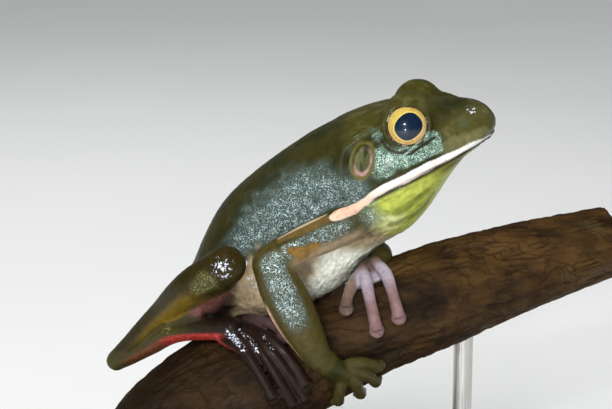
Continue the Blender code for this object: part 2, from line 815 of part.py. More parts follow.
def clear_of(obj, neighbour):
    """Cuts the object back to leave the gap to a neighbour that it would touch."""
    reach = GAP * MM
    for (low, high), (other_low, other_high) in zip(box_of(obj), box_of(neighbour)):
        if low > other_high + reach or high < other_low - reach:
            return
    grown = copied(neighbour, "grown")
    swell = grown.modifiers.new("swell", "DISPLACE")
    swell.strength = reach
    swell.mid_level = 0.0
    boolean(obj, applied(grown), "DIFFERENCE")
    remove(grown)
    largest_only(obj)


def heel_plane(points, tarsus):
    """The plane between the folded shank and tarsus, facing the tarsus."""
    heel = Vector(points[-1][:3])
    shank = (Vector(points[-2][:3]) - heel).normalized()
    foot = (Vector(tarsus[1][:3]) - heel).normalized()
    return heel, (foot - shank).normalized()


def trim_limb_ends(paws):
    """Cuts each forearm and shank back to the plane where its hand or foot begins."""
    for _, name, limb, side in paws:
        points = sided(limb, side)
        if name.startswith("hand"):
            at, along = end_plane(points, 0.0)
            partner = name.replace("hand", "forearm")
        else:
            at, along = heel_plane(points, TARSUS[side])
            partner = name.replace("foot", "shank")
        node = bpy.data.objects[partner]
        slots = list(node.data.materials)
        before = half_space("before", at - along * GAP / 2, -along, reach=60.0)
        boolean(node, before, "INTERSECT")
        remove(before)
        largest_only(node)
        node.data.materials.clear()
        node.data.materials.append(slots[0])


def finish_head(head):
    """Sockets, eyes, eardrums, nostrils and the lower jaw."""
    for side in (RIGHT, LEFT):
        word = side_name(side)
        eye = head_point(EYE_AT[0], EYE_AT[1] * side, EYE_AT[2])
        axis = head_direction(EYE_AXIS[0], EYE_AXIS[1] * side, EYE_AXIS[2])
        socket = ball("socket", eye, EYE_RADIUS + GAP, segments=20)
        boolean(head, socket, "DIFFERENCE")
        remove(socket)
        opening = drum("opening", eye, axis, EYE_RADIUS * OPENING_SHARE, OPENING_START, OPENING_END)
        boolean(head, opening, "DIFFERENCE")
        remove(opening)
        finished(ball("eye", eye, EYE_RADIUS, axis=axis, segments=20), f"eye_{word}", EYE)
        f, y, u = NOSTRIL_AT
        pit = ball("pit", head_point(f + 0.6, (y + 0.9) * side, u + 0.5), NOSTRIL_PIT, segments=10)
        boolean(head, pit, "DIFFERENCE")
        remove(pit)
        ear = head_point(EAR_AT[0], EAR_AT[1] * side, EAR_AT[2])
        look = head_direction(EAR_AXIS[0], EAR_AXIS[1] * side, EAR_AXIS[2])
        oval = (EAR_HALF[0] / EAR_HALF[1], 1.0)
        region = drum("region", ear, look, EAR_HALF[1], EAR_DEPTH, EAR_OUT, oval, segments=20)
        wider = drum(
            "wider", ear, look, EAR_HALF[1] + GAP, EAR_DEPTH - GAP, EAR_OUT + GAP, oval, segments=20
        )
        cut_off(head, f"eardrum_{word}", region, wider, EARDRUM)
    first, last = MOUTH_LINE[0], MOUTH_LINE[-1]
    slope = math.atan2(last[2] - first[2], first[0] - last[0])
    turn = Matrix.Rotation(slope - HEAD_PITCH, 3, "Y")
    depth, length, width = JAW_BLOCK
    down = turn @ Vector((0, 0, -1))
    ahead = turn @ Vector((1, 0, 0))
    corner = head_point(JAW_BACK, 0, last[2])
    centre = corner + ahead * (length / 2 + GAP) + down * (depth / 2 + GAP / 2)
    region = block("region", centre, (length, width, depth), turn)
    wider = block("wider", centre, (length + 2 * GAP, width + 2 * GAP, depth + 2 * GAP), turn)
    cut_off(head, "lower_jaw", region, wider, PALE_SKIN)
    finished(head, "head", SKIN)


main()
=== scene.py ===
"""Looks of the tree frog model: skin, eyes, bark, stand, floor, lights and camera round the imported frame.

The frog's own frame is in millimetres: +X forward, +Y to its left, +Z up. place() moves it to the part's
frame in metres. Each marking is a number from 0 to 1 at every point of the skin, worked out from the form.
"""

import json
import math

import bmesh
import bpy
import numpy as np
from mathutils import Matrix, Vector, noise

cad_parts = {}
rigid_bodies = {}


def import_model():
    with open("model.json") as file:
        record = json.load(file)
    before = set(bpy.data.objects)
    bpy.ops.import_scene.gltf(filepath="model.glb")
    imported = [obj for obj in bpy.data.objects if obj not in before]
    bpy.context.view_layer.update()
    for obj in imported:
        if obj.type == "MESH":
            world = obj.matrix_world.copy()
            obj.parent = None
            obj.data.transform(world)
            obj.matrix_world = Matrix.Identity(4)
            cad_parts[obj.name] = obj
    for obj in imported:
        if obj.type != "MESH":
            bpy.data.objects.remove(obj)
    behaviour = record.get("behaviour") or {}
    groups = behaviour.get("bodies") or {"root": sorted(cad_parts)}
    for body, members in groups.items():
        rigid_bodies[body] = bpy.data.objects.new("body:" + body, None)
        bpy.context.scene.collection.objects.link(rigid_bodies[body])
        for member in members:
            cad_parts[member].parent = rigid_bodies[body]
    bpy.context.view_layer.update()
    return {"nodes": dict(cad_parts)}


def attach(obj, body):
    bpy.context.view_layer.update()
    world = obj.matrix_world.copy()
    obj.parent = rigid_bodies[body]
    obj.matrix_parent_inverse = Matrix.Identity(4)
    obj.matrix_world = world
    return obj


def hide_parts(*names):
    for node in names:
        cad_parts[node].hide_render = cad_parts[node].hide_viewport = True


for old in list(bpy.data.objects):
    bpy.data.objects.remove(old)
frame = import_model()

MM = 0.001
RIGHT, LEFT = -1, 1

# Stand, perch and frog measures, the same as the solids have
BASE_HEIGHT, BASE_CENTRE, BASE_TOP = 8, (2, -8), -95.0
# The perch's middle line and radius: x, y, z, radius
PERCH_AXIS = (
    (-44, -35, -71, 14.5), (-34, -30.5, -60.5, 15.5), (-20, -23.5, -51.2, 16.2), (-6, -17.5, -46.3, 15.2),
    (8, -12.3, -39.8, 13.4), (20, -7, -33, 14.2), (34, -1, -28, 14.2), (54, 8, -22.8, 12.3),
    (76, 18, -17.2, 10),
)
BARK_RELIEF, BARK_STEPS, BARK_SIDES = 0.45, 26, 190
HEAD_PITCH = math.radians(30)
MOUTH_FRONT = (44.5, 0, 14)
# Sections of the head: forward of the mouth's front, heights of its top, lip and throat, half width
HEAD_STATIONS = (
    (2.9, 6.2, 4.6, 3.6, 2.6), (2.2, 8.6, 3.6, 2.4, 5.2), (0.2, 11.2, 2.6, 1.6, 7.6),
    (-4, 14.2, 2.2, 0.6, 10.4), (-9, 16.8, 2.2, -0.9, 13.2), (-14, 19.4, 2.4, -3.2, 15.7),
    (-19, 21.4, 2.6, -6, 17.8), (-25, 22.9, 2.8, -9, 19), (-31, 23.7, 3, -11, 19.4),
)
EYE_AT = (-15.8, 12.7, 14.4)
EYE_AXIS = (0.27, 0.95, 0.13)
EYE_RADIUS = 5.6
EYE_RING = 2.4
LID_THICKNESS, INNER_LID_THICKNESS, SOCKET_GAP = 0.62, 0.27, 0.15
BROW_RADIUS = 6.8
BROW_CROWN = (-15, 9.6, 16.2)
OPENING_SHARE, OPENING_START, OPENING_END = 0.9, 0.5, 14.0
NOSTRIL_AT = (-0.8, 4.6, 9.6)
EAR_AT = (-29.2, 17.9, 12.4)
EAR_AXIS = (-0.22, 0.95, 0.22)
EAR_MARK = (2.75, 4.35)
# The raised rim and the pit of each nostril: radius, and shift from the nostril's place
NOSTRIL_SWELL, NOSTRIL_PIT = (1.9, (-0.3, -0.6, -0.4)), (1, (0.6, 0.9, 0.5))
SNOUT_FILL, SNOUT_RADIUS = (0.8, 0, 2.7), 1.6
# The soft edge from the eye to the nostril, and the fold of skin from the eye over the ear and down:
# head place and radius
CANTHUS = ((-10, 10.2, 14.6, 2.5), (-6.2, 8.2, 12.2, 2.1), (-2.4, 4.6, 9.6, 1.3))
EAR_FOLD = (
    (-21.3, 14.6, 15.9, 1.2), (-25.2, 16.2, 17.8, 1.3), (-31.7, 16.8, 17, 1.5), (-35.2, 18.2, 12.9, 1.6),
    (-37.7, 19.4, 6.4, 1.6),
)
MOUTH_LINE = (
    (0.6, 0, 0.6), (-0.6, 4.6, 0.9), (-5, 9.6, 1.3), (-10, 12.9, 1.7), (-15, 15.7, 2.1), (-20, 17.9, 2.4),
    (-26, 19, 2.7), (-33, 19.6, 3),
)
LIP_RADIUS = (1.3, 1)
# How far the lower lip is tucked in behind the upper one, at each place of the mouth line
LIP_TUCK = (2.6, 2.4, 1.7, 0.9, 0.3, 0, 0, 0)
LIP_BACK, LIP_SUNK, LIP_LEAD = 0.5, 0.62, 0.3
UPPER_LIP_RISE, LOWER_LIP_RISE = 1, -1.3
# Sections of the torso: its back and belly as (x, z), half width, and the share of height where it is widest
TORSO_STATIONS = (
    ((0.9, 16.2), (16.5, -15.2), 19.2, 0.50),
    ((-5, 12.8), (11.5, -21), 18.6, 0.48),
    ((-12.2, 7.6), (7, -26.6), 19, 0.46),
    ((-20.5, 1), (1, -32.4), 19.8, 0.44),
    ((-27.4, -6), (-6, -37), 20, 0.42),
    ((-32.2, -14.3), (-15, -39.8), 19, 0.42),
    ((-36, -23.2), (-25, -41.2), 16.4, 0.44),
    ((-40, -30), (-33.5, -41.2), 12.4, 0.48),
    ((-44.4, -35.2), (-40, -41), 7.8, 0.50),
    ((-47.4, -38.4), (-45.4, -40.4), 3, 0.50),
)
# Arms and legs: x, y outward, z, radius. Palms and tarsi have y to the frog's left.
UPPER_ARM = {
    RIGHT: ((13, 12, -5, 6), (7, 21, -7, 5.2), (-2, 28, -10.5, 4.6), (-8, 31, -14.5, 4.9)),
    LEFT: ((13, 12, -5, 6), (7, 21, -9, 5.2), (0, 26.5, -13.5, 4.6), (-4, 28.5, -18, 4.9)),
}
FOREARM = {
    RIGHT: ((-8, 31, -14.5, 4.9), (-4.5, 31.5, -22, 5.9), (0, 31.8, -30.5, 5.3), (4.5, 31.6, -38.4, 3.6)),
    LEFT: ((-4, 28.5, -18, 4.9), (2, 22, -21, 5.6), (9, 12.5, -22, 4.8), (14, 4, -20.2, 3.4)),
}
THIGH = {
    RIGHT: ((-36, 6, -34, 6.6), (-31, 17, -29.5, 6.8), (-25, 28, -21.5, 6), (-18, 37.2, -14, 4.8)),
    LEFT: ((-36, 6, -34, 6.6), (-31, 17, -30, 6.8), (-24, 28, -23.5, 6), (-16.5, 36, -17.5, 4.8)),
}
SHANK = {
    RIGHT: (
        (-18, 37.2, -13.8, 5.1), (-28.5, 33.5, -21.1, 4.5), (-37.8, 27.3, -30.2, 3.3),
        (-45.2, 23.6, -38.2, 2.9), (-53, 20, -46.9, 2.7),
    ),
    LEFT: ((-16.5, 36, -17.3, 5.1), (-26, 32.5, -25, 4.1), (-38, 25.5, -36, 3.5), (-50.5, 18.5, -47, 2.7)),
}
PALM = {
    RIGHT: ((4.5, -31.6, -38.4, 3.6), (7.2, -30, -41.2, 3.3), (9.5, -27.6, -43.6, 2.8)),
    LEFT: ((14, 4, -20.2, 3.4), (15.5, -1.5, -18.8, 3.1), (16.8, -6.8, -18.4, 2.8)),
}
# Digits, joint by joint: x of the perch's axis, and degrees round it from its top towards the frog's right
FINGERS = {
    RIGHT: (
        ((6, 92), (8.2, 97), (9.8, 104), (10.8, 113)),
        ((5.6, 95), (7.4, 108), (8.6, 121), (9.2, 135)),
        ((4.9, 98), (5.4, 114), (5.6, 130), (5.6, 145)),
        ((4.2, 97), (2.6, 108), (1.4, 119), (0.6, 130)),
    ),
    LEFT: (
        ((16.8, 11), (14.6, 21), (12.6, 30), (11, 39)),
        ((18.2, 4), (17, 28), (15.5, 52), (14, 75)),
        ((20.5, 6), (20.8, 30), (20.1, 52), (19.1, 75)),
        ((21.6, -16), (22.8, -30), (23.8, -44), (24.6, -58)),
    ),
}
TARSUS = {
    RIGHT: ((-53, -20, -47.2, 2.7), (-43, -23.5, -41.2, 2.7), (-33.5, -28, -34.9, 3), (-19, -28.8, -33, 3)),
    LEFT: (
        (-50.5, 18.5, -47, 2.7), (-41, 12.5, -47.5, 2.4), (-30, 4.5, -47.8, 2.4), (-19.5, -4, -47, 2.9),
    ),
}
TOES = {
    RIGHT: (
        ((-14, 2), (-9.5, 15), (-6, 30), (-4.5, 41)),
        ((-15, 8), (-9, 39), (-5.5, 66), (-4.5, 91)),
        ((-16, 11), (-11.5, 42), (-8, 69), (-6, 104)),
        ((-17, 14), (-13.5, 39), (-11, 69), (-9, 104)),
        ((-18.5, 18), (-16, 42), (-14.5, 63), (-13, 90)),
    ),
    LEFT: (
        ((-17, -74), (-13, -68), (-9.5, -64), (-6.5, -61)),
        ((-16.5, -80), (-11, -76), (-6, -72), (-1, -69)),
        ((-16.5, -86), (-10, -84), (-3.5, -82), (3, -80)),
        ((-16.5, -92), (-9.5, -94), (-2, -96), (6, -98)),
        ((-17.5, -98), (-12, -104), (-6, -110), (0, -116)),
    ),
}
FINGER_RADIUS, TOE_RADIUS, DISC_RADIUS, DISC_FLAT = 1.6, 1.4, 2.1, 0.5
DISC_LIFT = 0.75
DIGIT_ROOT = 1.15
DIGIT_LIFTS = (0.9, 1, 0.9, 0.8)
DIGIT_SWELLS = (0.95, 1.1, 0.95, 1.1)
WEB_TOP, WEB_THICKNESS = 0.9, 1.2

# The pale stripe along the upper lip and over the shoulder: x, |y|, z and half its width
LIP_STRIPE = (
    (44.2, 2.6, 14.7, 0.55), (43.3, 5.2, 14.7, 0.7), (41.1, 9, 14, 0.75), (38, 11.7, 12.6, 0.75),
    (34.6, 13.7, 11.2, 0.85), (31.2, 15.6, 9.7, 0.95), (27.8, 17.3, 8, 1), (24.4, 18.6, 6.2, 1),
    (21.9, 19.1, 5.1, 0.85), (19, 19.5, 3.6, 0.9), (16.5, 19.8, 2, 0.85), (14.5, 19.6, 0.3, 0.75),
    (12.5, 20.2, -1.3, 1), (10.3, 21.6, -2.3, 1.25), (8.1, 23.6, -2.9, 1.3), (7, 24.5, -3.4, 1),
)
# The rows of the stripe's raised end start here, and it lies this deep in the skin
LOBE_START, LOBE_SUNK = 9, 0.5
# The share of the stripe's length over which it turns from white to salmon
SALMON_FROM, SALMON_FULL = 0.56, 0.78

# Painted glints: pale highlights painted on the granules of the cheek and round the ear: x, |y|, z, radius,
# strength
CHEEK_PAINTED_GLINTS = (
    (30.9, 13.6, 16, 2.2, 1), (29.4, 14.6, 16.4, 1.8, 0.9), (31.3, 14.3, 13.6, 2.4, 1),
    (28.8, 15.9, 12, 3, 1), (26.2, 16.6, 12, 3, 1), (23.6, 17.2, 11.4, 3.2, 1), (21, 17.5, 11, 3.2, 1),
    (18.6, 18, 10, 3.2, 1), (17.1, 17.6, 11.6, 2.4, 0.95), (18.4, 16.9, 13.2, 2, 0.7),
    (19.4, 18.4, 8.2, 2.6, 0.8), (17.2, 18.6, 7.4, 2.4, 0.55), (9.6, 17.8, 12.4, 1.8, 0.62),
    (9.2, 18.6, 8.8, 1.8, 0.6), (11.4, 15.4, 16.4, 2.2, 0.6), (14.8, 14.6, 17.6, 2.2, 0.62),
    (16.6, 16, 16.4, 1.8, 0.62), (37.5, 8.6, 19.6, 2.2, 0.3),
)
# Thin creases under the eye, and the soft long folds of the throat, both sunk and darkened with painted
# shade: x, |y|, z, half width
EYE_CREASES = (
    ((17.3, 15.8, 15.6, 0.2), (19.5, 16.8, 13.3, 0.3), (22.6, 17, 12.5, 0.3), (24.4, 16.7, 13.1, 0.15)),
    ((24.6, 16.8, 12, 0.15), (27.8, 15.7, 14, 0.3), (31, 13.1, 16.2, 0.15)),
)
THROAT_FOLDS = (
    ((19.2, 17.2, -3.4, 0.4), (23.3, 16.9, -2.7, 0.7), (26.4, 16.2, -0.8, 0.7), (29.4, 14.6, 2.2, 0.4)),
    ((20.6, 15.6, -7, 0.5), (25.8, 12.3, -5, 0.9), (28.1, 10.3, -3, 0.9), (30.2, 11.1, 0.5, 0.5)),
)
# Where the blue-grey of the flank ends above: place along the torso, and height from -1 below to 1 above
FLANK_TOP = ((-40, 0.4), (-28, 0.62), (-20, 0.80), (-6, 0.82), (0, 0.76), (6, 0.58), (10, 0.40))
# Painted glints: pale highlights painted on the granules of shoulder and flank, and of the skin under the
# stripe's end
PAINTED_GLINT_PATCHES = (
    (4.9, 18.4, 3, 4.5, 0.78), (7.4, 19.9, 1.2, 3, 0.8), (2.5, 17, 6, 4.5, 0.65),
    (-0.7, 16.8, 3, 4.5, 0.65), (-4.7, 15, 3.4, 4.5, 0.6), (-8.8, 16.1, -1.5, 5, 0.62),
    (-3, 17.6, -3.4, 4, 0.7), (2.3, 18.8, -3.6, 2.4, 0.95), (-0.4, 18.6, -5, 2.4, 1),
    (-3.4, 18.8, -6.8, 2.4, 1), (-6.9, 18.9, -9, 2.4, 0.9), (-10.8, 18.9, -11.2, 2.6, 0.75),
    (-16.6, 17.1, -9.7, 4, 0.45), (11.6, 21.6, -4.6, 1.8, 1), (13.4, 20.6, -4.4, 1.8, 1),
    (15.4, 18.6, -4.6, 1.6, 0.8),
)
# Painted highlights: bright spots of light on the knees, the snout and the sides of the belly: x, |y|, z,
# radius, strength
PAINTED_HIGHLIGHT_SPOTS = (
    (-18, 41.9, -13, 3, 0.3), (-17.8, 42, -12.9, 1.35, 1), (39.1, 5.4, 22, 1.3, 0.6),
    (-16, 19.8, -21.9, 0.9, 1), (-14.9, 20, -23.7, 1.1, 1), (-17.2, 19.3, -18.2, 0.7, 0.8),
    (-13.2, 19.9, -20, 0.7, 0.8),
)
# Painted highlights: bright streaks of light along the roots of each foot's toes: x, |y|, z, half width, and
# their strengths
TOE_PAINTED_HIGHLIGHTS = (
    ((-19.4, 31.6, -33, 0.35), (-17.2, 32.3, -34.8, 0.75), (-14, 35.2, -36.5, 0.4)),
    ((-16.3, 30.2, -32.9, 0.15), (-13.1, 32.8, -34.5, 0.3), (-10.7, 34.4, -37, 0.2)),
    ((-10.5, 30.6, -33.7, 0.1), (-7.9, 32.6, -35.6, 0.25), (-6.6, 33.6, -37.4, 0.1)),
)
TOE_HIGHLIGHT_STRENGTHS = (0.95, 0.5, 0.4)
# Patches of painted highlight under the throat, of yellow grains on heel and shank, and of white skin on the
# chest
THROAT_PAINTED_HIGHLIGHTS = ((19.4, 16.4, -6.6, 4, 0.9), (16.1, 15.4, -9, 4, 0.9), (22.6, 15.6, -6.4, 3, 0.7))
GRAIN_PATCHES = (
    (-36.1, 29.9, -34.2, 1.5, 0.9), (-22.4, 40.5, -17.6, 3.2, 0.9), (-24.6, 39.6, -19.4, 2.8, 0.7),
)
CHEST_PATCHES = (
    (6, 15, -19, 6, 1), (3, 13, -24, 6, 1), (9, 11, -19.5, 6, 1), (6, 4, -24, 7, 1), (12, 5, -18, 6, 1),
)
# The fold of skin that fills the bend between each thigh and tarsus: x, |y|, z, radius
CALF_FOLD = ((-36, 28.2, -32.6, 1.8), (-31.5, 28.2, -30.6, 2.5), (-27, 27.6, -29.4, 2.6))
# The pale line and the tan band along each upper arm, the painted glints over them, the pale band over the
# lip and the tan skin in the bend of the elbow: x, |y|, z, half width, or radius and strength
ARM_LINE = ((-6, 30.7, -7.9, 0), (-2.2, 28.4, -6, 0.3), (1.6, 26, -4.3, 0.35), (4.8, 23.7, -2.9, 0))
ARM_TAN = ((-5.5, 31.5, -8, 0.3), (-0.8, 29.3, -6, 0.8), (3.8, 26.4, -4.2, 0.8), (7, 24.2, -2.9, 0.3))
SEAM_PAINTED_GLINTS = (
    (-4.3, 18.5, -6, 1.5, 1), (-1.9, 18.4, -4.4, 1.7, 1), (0.7, 18.4, -3, 1.7, 1),
    (2.8, 18.4, -2, 1.4, 0.9),
)
LIP_BAND = ((31.4, 14.3, 13, 0.3), (34.8, 12.7, 13.9, 0.8), (38.1, 10.9, 15, 0.9), (43, 7.2, 16.8, 0.4))
ELBOW_TAN = (
    (-2.8, 32.9, -10.3, 0.5), (0.2, 32, -11.2, 1.5), (2.9, 30.3, -10.2, 0.9), (4.2, 29.2, -9.4, 0.3),
)
# The painted glints on each arm's granules: between which shares of upper arm and forearm they lie, and the
# way they face
UPPER_GLINTS, FORE_GLINTS = (0.15, 1.2), (-0.2, 0.80)
ARM_OUTWARD = {RIGHT: (0.25, -1, 0.25), LEFT: (0.5, 0.6, 0.6)}
ARM_GLINT = 0.84
# Each soft line: its marking, its path and how far it fades out beyond its width
LINE_MARKS = (
    *(("crease", path, 0.3) for path in EYE_CREASES),
    *(("fold", path, 1.4) for path in THROAT_FOLDS),
    ("arm_line", ARM_LINE, 0.5),
    ("arm_tan", ARM_TAN, 1.2),
    ("lip_band", LIP_BAND, 1.6),
)
# Where the belly's pale skin begins: place along the torso, and height from -1 below to 1 above
BELLY_EDGE = ((-46, -0.9), (-36, -0.5), (-28, 0.05), (-20, 0.12), (-8, -0.05), (3, -0.55), (9, -0.7))

COARSE_VOXEL, FINE_VOXEL = 0.6, 0.36
GRANULE_SIZE, SWELL_SIZE = 1.35, 7.0
HEAD_SMOOTHING, BODY_SMOOTHING, SKIN_SMOOTHING = 14, 6, 3


def place(point):
    """A point of the frog's frame, in millimetres, as a point of the part's frame in metres."""
    x, y, z = point[:3]
    lift = BASE_HEIGHT - BASE_TOP
    return Vector(((x - BASE_CENTRE[0]) * MM, (y - BASE_CENTRE[1]) * MM, (z + lift) * MM))


def head_point(f, y, u):
    """A place on the head, from its own forward, sideways and upward measures."""
    c, s = math.cos(HEAD_PITCH), math.sin(HEAD_PITCH)
    return Vector((MOUTH_FRONT[0] + f * c - u * s, y, MOUTH_FRONT[2] + f * s + u * c))


def head_direction(f, y, u):
    return (head_point(f, y, u) - Vector(MOUTH_FRONT)).normalized()


def on_side(point, side):
    """The point or row of a table, its y measured outward, put on the given side."""
    return (point[0], point[1] * side, *point[2:])


def sided(points, side):
    return [on_side(point, side) for point in points]


def eye_place(side):
    """The eye's centre and the direction in which it looks."""
    return head_point(*on_side(EYE_AT, side)), head_direction(*on_side(EYE_AXIS, side))


def nostril_place(shift, side):
    return head_point(*on_side([a + b for a, b in zip(NOSTRIL_AT, shift)], side))


def smooth_path(points, steps):
    """Catmull-Rom points through the given (x, y, z, radius) points, with steps to each span."""
    rows = [Vector(p) for p in points]
    rows = [2 * rows[0] - rows[1], *rows, 2 * rows[-1] - rows[-2]]
    path = []
    for a, b, c, d in zip(rows, rows[1:], rows[2:], rows[3:]):
        for k in range(steps):
            t = k / steps
            bend, twist = 2 * a - 5 * b + 4 * c - d, 3 * b - 3 * c + d - a
            path.append(0.5 * (2 * b + (c - a) * t + bend * t**2 + twist * t**3))
    return [*path, rows[-2]]


def new_object(name, mesh):
    obj = bpy.data.objects.new(name, mesh)
    bpy.context.scene.collection.objects.link(obj)
    return obj


def object_from_bmesh(name, bm):
    bmesh.ops.recalc_face_normals(bm, faces=bm.faces)
    mesh = bpy.data.meshes.new(name)
    bm.to_mesh(mesh)
    bm.free()
    return new_object(name, mesh)


def remove(obj):
    mesh = obj.data
    bpy.data.objects.remove(obj)
    if mesh.users == 0:
        bpy.data.batch_remove([mesh])


def evaluated_mesh(obj):
    bpy.context.view_layer.update()
    graph = bpy.context.evaluated_depsgraph_get()
    return bpy.data.meshes.new_from_object(obj.evaluated_get(graph))


def applied(obj):
    """The object with its modifiers worked into its mesh."""
    mesh = evaluated_mesh(obj)
    obj.modifiers.clear()
    old = obj.data
    obj.data = mesh
    bpy.data.batch_remove([old])
    return obj


def boolean(obj, cutter, operation):
    """The Boolean of two closed meshes, applied."""
    modifier = obj.modifiers.new(operation, "BOOLEAN")
    modifier.operation = operation
    modifier.solver = "MANIFOLD"
    modifier.object = cutter
    return applied(obj)


def skin_over(bm, rows):
    """Faces between each ring of vertices and the next, which has as many."""
    for low, high in zip(rows, rows[1:]):
        for corners in zip(low, low[1:] + low[:1], high[1:] + high[:1], high):
            bm.faces.new(corners)


def loft(name, rings):
    """A closed skin over rings of the same number of points."""
    bm = bmesh.new()
    rows = [[bm.verts.new(place(p)) for p in ring] for ring in rings]
    skin_over(bm, rows)
    bm.faces.new(rows[0])
    bm.faces.new(rows[-1])
    return object_from_bmesh(name, bm)


def tube(name, points, steps=6, resolution=6):
    """A round limb: a curve through the points with their own radii, made a closed mesh."""
    curve = bpy.data.curves.new(name, "CURVE")
    curve.dimensions = "3D"
    curve.bevel_depth = MM
    curve.bevel_resolution = resolution
    curve.use_fill_caps = True
    path = smooth_path(points, steps)
    spline = curve.splines.new("POLY")
    spline.points.add(len(path) - 1)
    for node, row in zip(spline.points, path):
        node.co = (*place(row), 1.0)
        node.radius = row[3]
    guide = new_object(name, curve)
    mesh = evaluated_mesh(guide)
    bpy.data.objects.remove(guide)
    bpy.data.batch_remove([curve])
    bm = bmesh.new()
    bm.from_mesh(mesh)
    bpy.data.batch_remove([mesh])
    bmesh.ops.remove_doubles(bm, verts=bm.verts, dist=1e-6)
    return object_from_bmesh(name, bm)


def set_at(centre, axis):
    """The matrix that turns +Z to the axis and moves the origin to the centre."""
    return Matrix.Translation(place(centre)) @ axis.to_track_quat("Z", "Y").to_matrix().to_4x4()


def ball(name, centre, radius, scale=(1, 1, 1), axis=None, segments=32):
    """An ellipsoid, its third measure along the axis where one is given."""
    bm = bmesh.new()
    bmesh.ops.create_uvsphere(bm, u_segments=segments, v_segments=segments // 2, radius=radius * MM)
    turn = set_at(centre, axis) if axis else Matrix.Translation(place(centre))
    bmesh.ops.transform(bm, matrix=turn @ Matrix.Diagonal((*scale, 1.0)), verts=bm.verts)
    return object_from_bmesh(name, bm)


def drum(name, centre, axis, radius, start, end, segments=48):
    """A cylinder along the axis between two distances from the centre."""
    bm = bmesh.new()
    sizes = {"radius1": radius * MM, "radius2": radius * MM, "depth": (end - start) * MM}
    bmesh.ops.create_cone(bm, cap_ends=True, segments=segments, **sizes)
    middle = Vector(centre) + axis * (start + end) / 2
    bmesh.ops.transform(bm, matrix=set_at(middle, axis), verts=bm.verts)
    return object_from_bmesh(name, bm)


def ring(name, centre, axis, radius, thickness, count=48):
    """A torus round the axis."""
    turn = axis.to_track_quat("Z", "Y").to_matrix()
    path = []
    for k in range(count + 1):
        angle = math.tau * k / count
        spoke = turn @ Vector((math.cos(angle), math.sin(angle), 0.0))
        path.append((*(Vector(centre) + spoke * radius), thickness))
    return tube(name, path, steps=1, resolution=3)


def joined(name, pieces):
    """One mesh object that holds the closed pieces as they are."""
    bm = bmesh.new()
    for piece in pieces:
        bm.from_mesh(piece.data)
        remove(piece)
    return object_from_bmesh(name, bm)


def fused(name, pieces, voxel, rounds):
    """The pieces run together into one smooth closed skin."""
    whole = joined(name, pieces)
    remesh = whole.modifiers.new("fuse", "REMESH")
    remesh.mode = "VOXEL"
    remesh.voxel_size = voxel * MM
    soften = whole.modifiers.new("soften", "SMOOTH")
    soften.factor = 0.5
    soften.iterations = rounds
    return largest_only(applied(whole))


def largest_only(obj):
    """Keeps the largest closed surface, and drops scraps and sealed hollows."""
    bm = bmesh.new()
    bm.from_mesh(obj.data)
    left = set(bm.verts)
    groups = []
    while left:
        group = {left.pop()}
        edge = list(group)
        while edge:
            near = {e.other_vert(v) for v in edge for e in v.link_edges} - group
            group |= near
            edge = list(near)
        left -= group
        groups.append(group)
    groups.sort(key=len)
    for group in groups[:-1]:
        bmesh.ops.delete(bm, geom=list(group), context="VERTS")
    bm.to_mesh(obj.data)
    bm.free()
    return obj


def body_ring(top, middle, bottom, half_width, high, low, count=72):
    """A cross-section through three points of the midline: its top, widest and bottom places."""
    points = []
    for k in range(count):
        angle = math.tau * k / count
        c, s = math.cos(angle), math.sin(angle)
        power = 2 / (high if s > 0 else low)
        across = math.copysign(abs(c) ** power, c) * half_width
        rise = abs(s) ** power
        end = top if s > 0 else bottom
        ahead, up = (centre + (far - centre) * rise for centre, far in zip(middle, end))
        points.append((ahead, across, up))
    return points


def head_rings():
    for f, top, lip, throat, half_width in HEAD_STATIONS:
        ends = [head_point(f, 0, u) for u in (top, lip, throat)]
        ends = [(p.x, p.z) for p in ends]
        yield body_ring(*ends, half_width, 2.15, 2.3)


def torso_rings():
    for back, belly, half_width, share in TORSO_STATIONS:
        middle = [b + (t - b) * share for t, b in zip(back, belly)]
        yield body_ring(back, middle, belly, half_width, 2.1, 2.1)


def smooth_rings(rings, steps=3):
    """The rings with more between them, each point on a smooth line through its fellows."""
    columns = [smooth_path([(*p, 0.0) for p in column], steps) for column in zip(*rings)]
    return [[row[:3] for row in ring] for ring in zip(*columns)]


def perch_axis(x):
    """The perch's centre, forward direction and radius where its axis has this x."""
    path = smooth_path(PERCH_AXIS, 12)
    for a, b in zip(path, path[1:]):
        if a.x <= x <= b.x:
            row = a.lerp(b, (x - a.x) / (b.x - a.x))
            return row.xyz, (b.xyz - a.xyz).normalized(), row[3]
    raise ValueError(x)


def across_perch(forward):
    """The directions up from and sideways out of the perch where it runs forward."""
    up = (Vector((0, 0, 1)) - forward * forward.z).normalized()
    return up, forward.cross(up)


def on_perch(x, degrees, lift):
    """A point over the perch's surface, turned from its top towards the frog's right."""
    centre, forward, radius = perch_axis(x)
    up, out = across_perch(forward)
    angle = math.radians(degrees)
    return centre + (up * math.cos(angle) + out * math.sin(angle)) * (radius + lift)


def lip_path(lip, rise, side):
    """The centre line of the upper or lower lip, which lies within the mouth line by most of its radius."""
    path = []
    for (f, y, u), tuck in zip(MOUTH_LINE, LIP_TUCK):
        back = LIP_BACK if rise > 0 else LIP_BACK + tuck
        inward = LIP_SUNK * lip + (0.0 if rise > 0 else 0.8 * tuck)
        size = lip if rise > 0 else lip - 0.12 * tuck
        lift = rise if rise > 0 else rise + 0.45 * tuck
        path.append((*head_point(f - back, max(y - inward, 0.0) * side, u + lift), size))
    f, _, u = MOUTH_LINE[0]
    if rise > 0:
        path[0] = (*head_point(f + LIP_LEAD - LIP_SUNK * lip, 0.0, u + rise), lip)
    return path


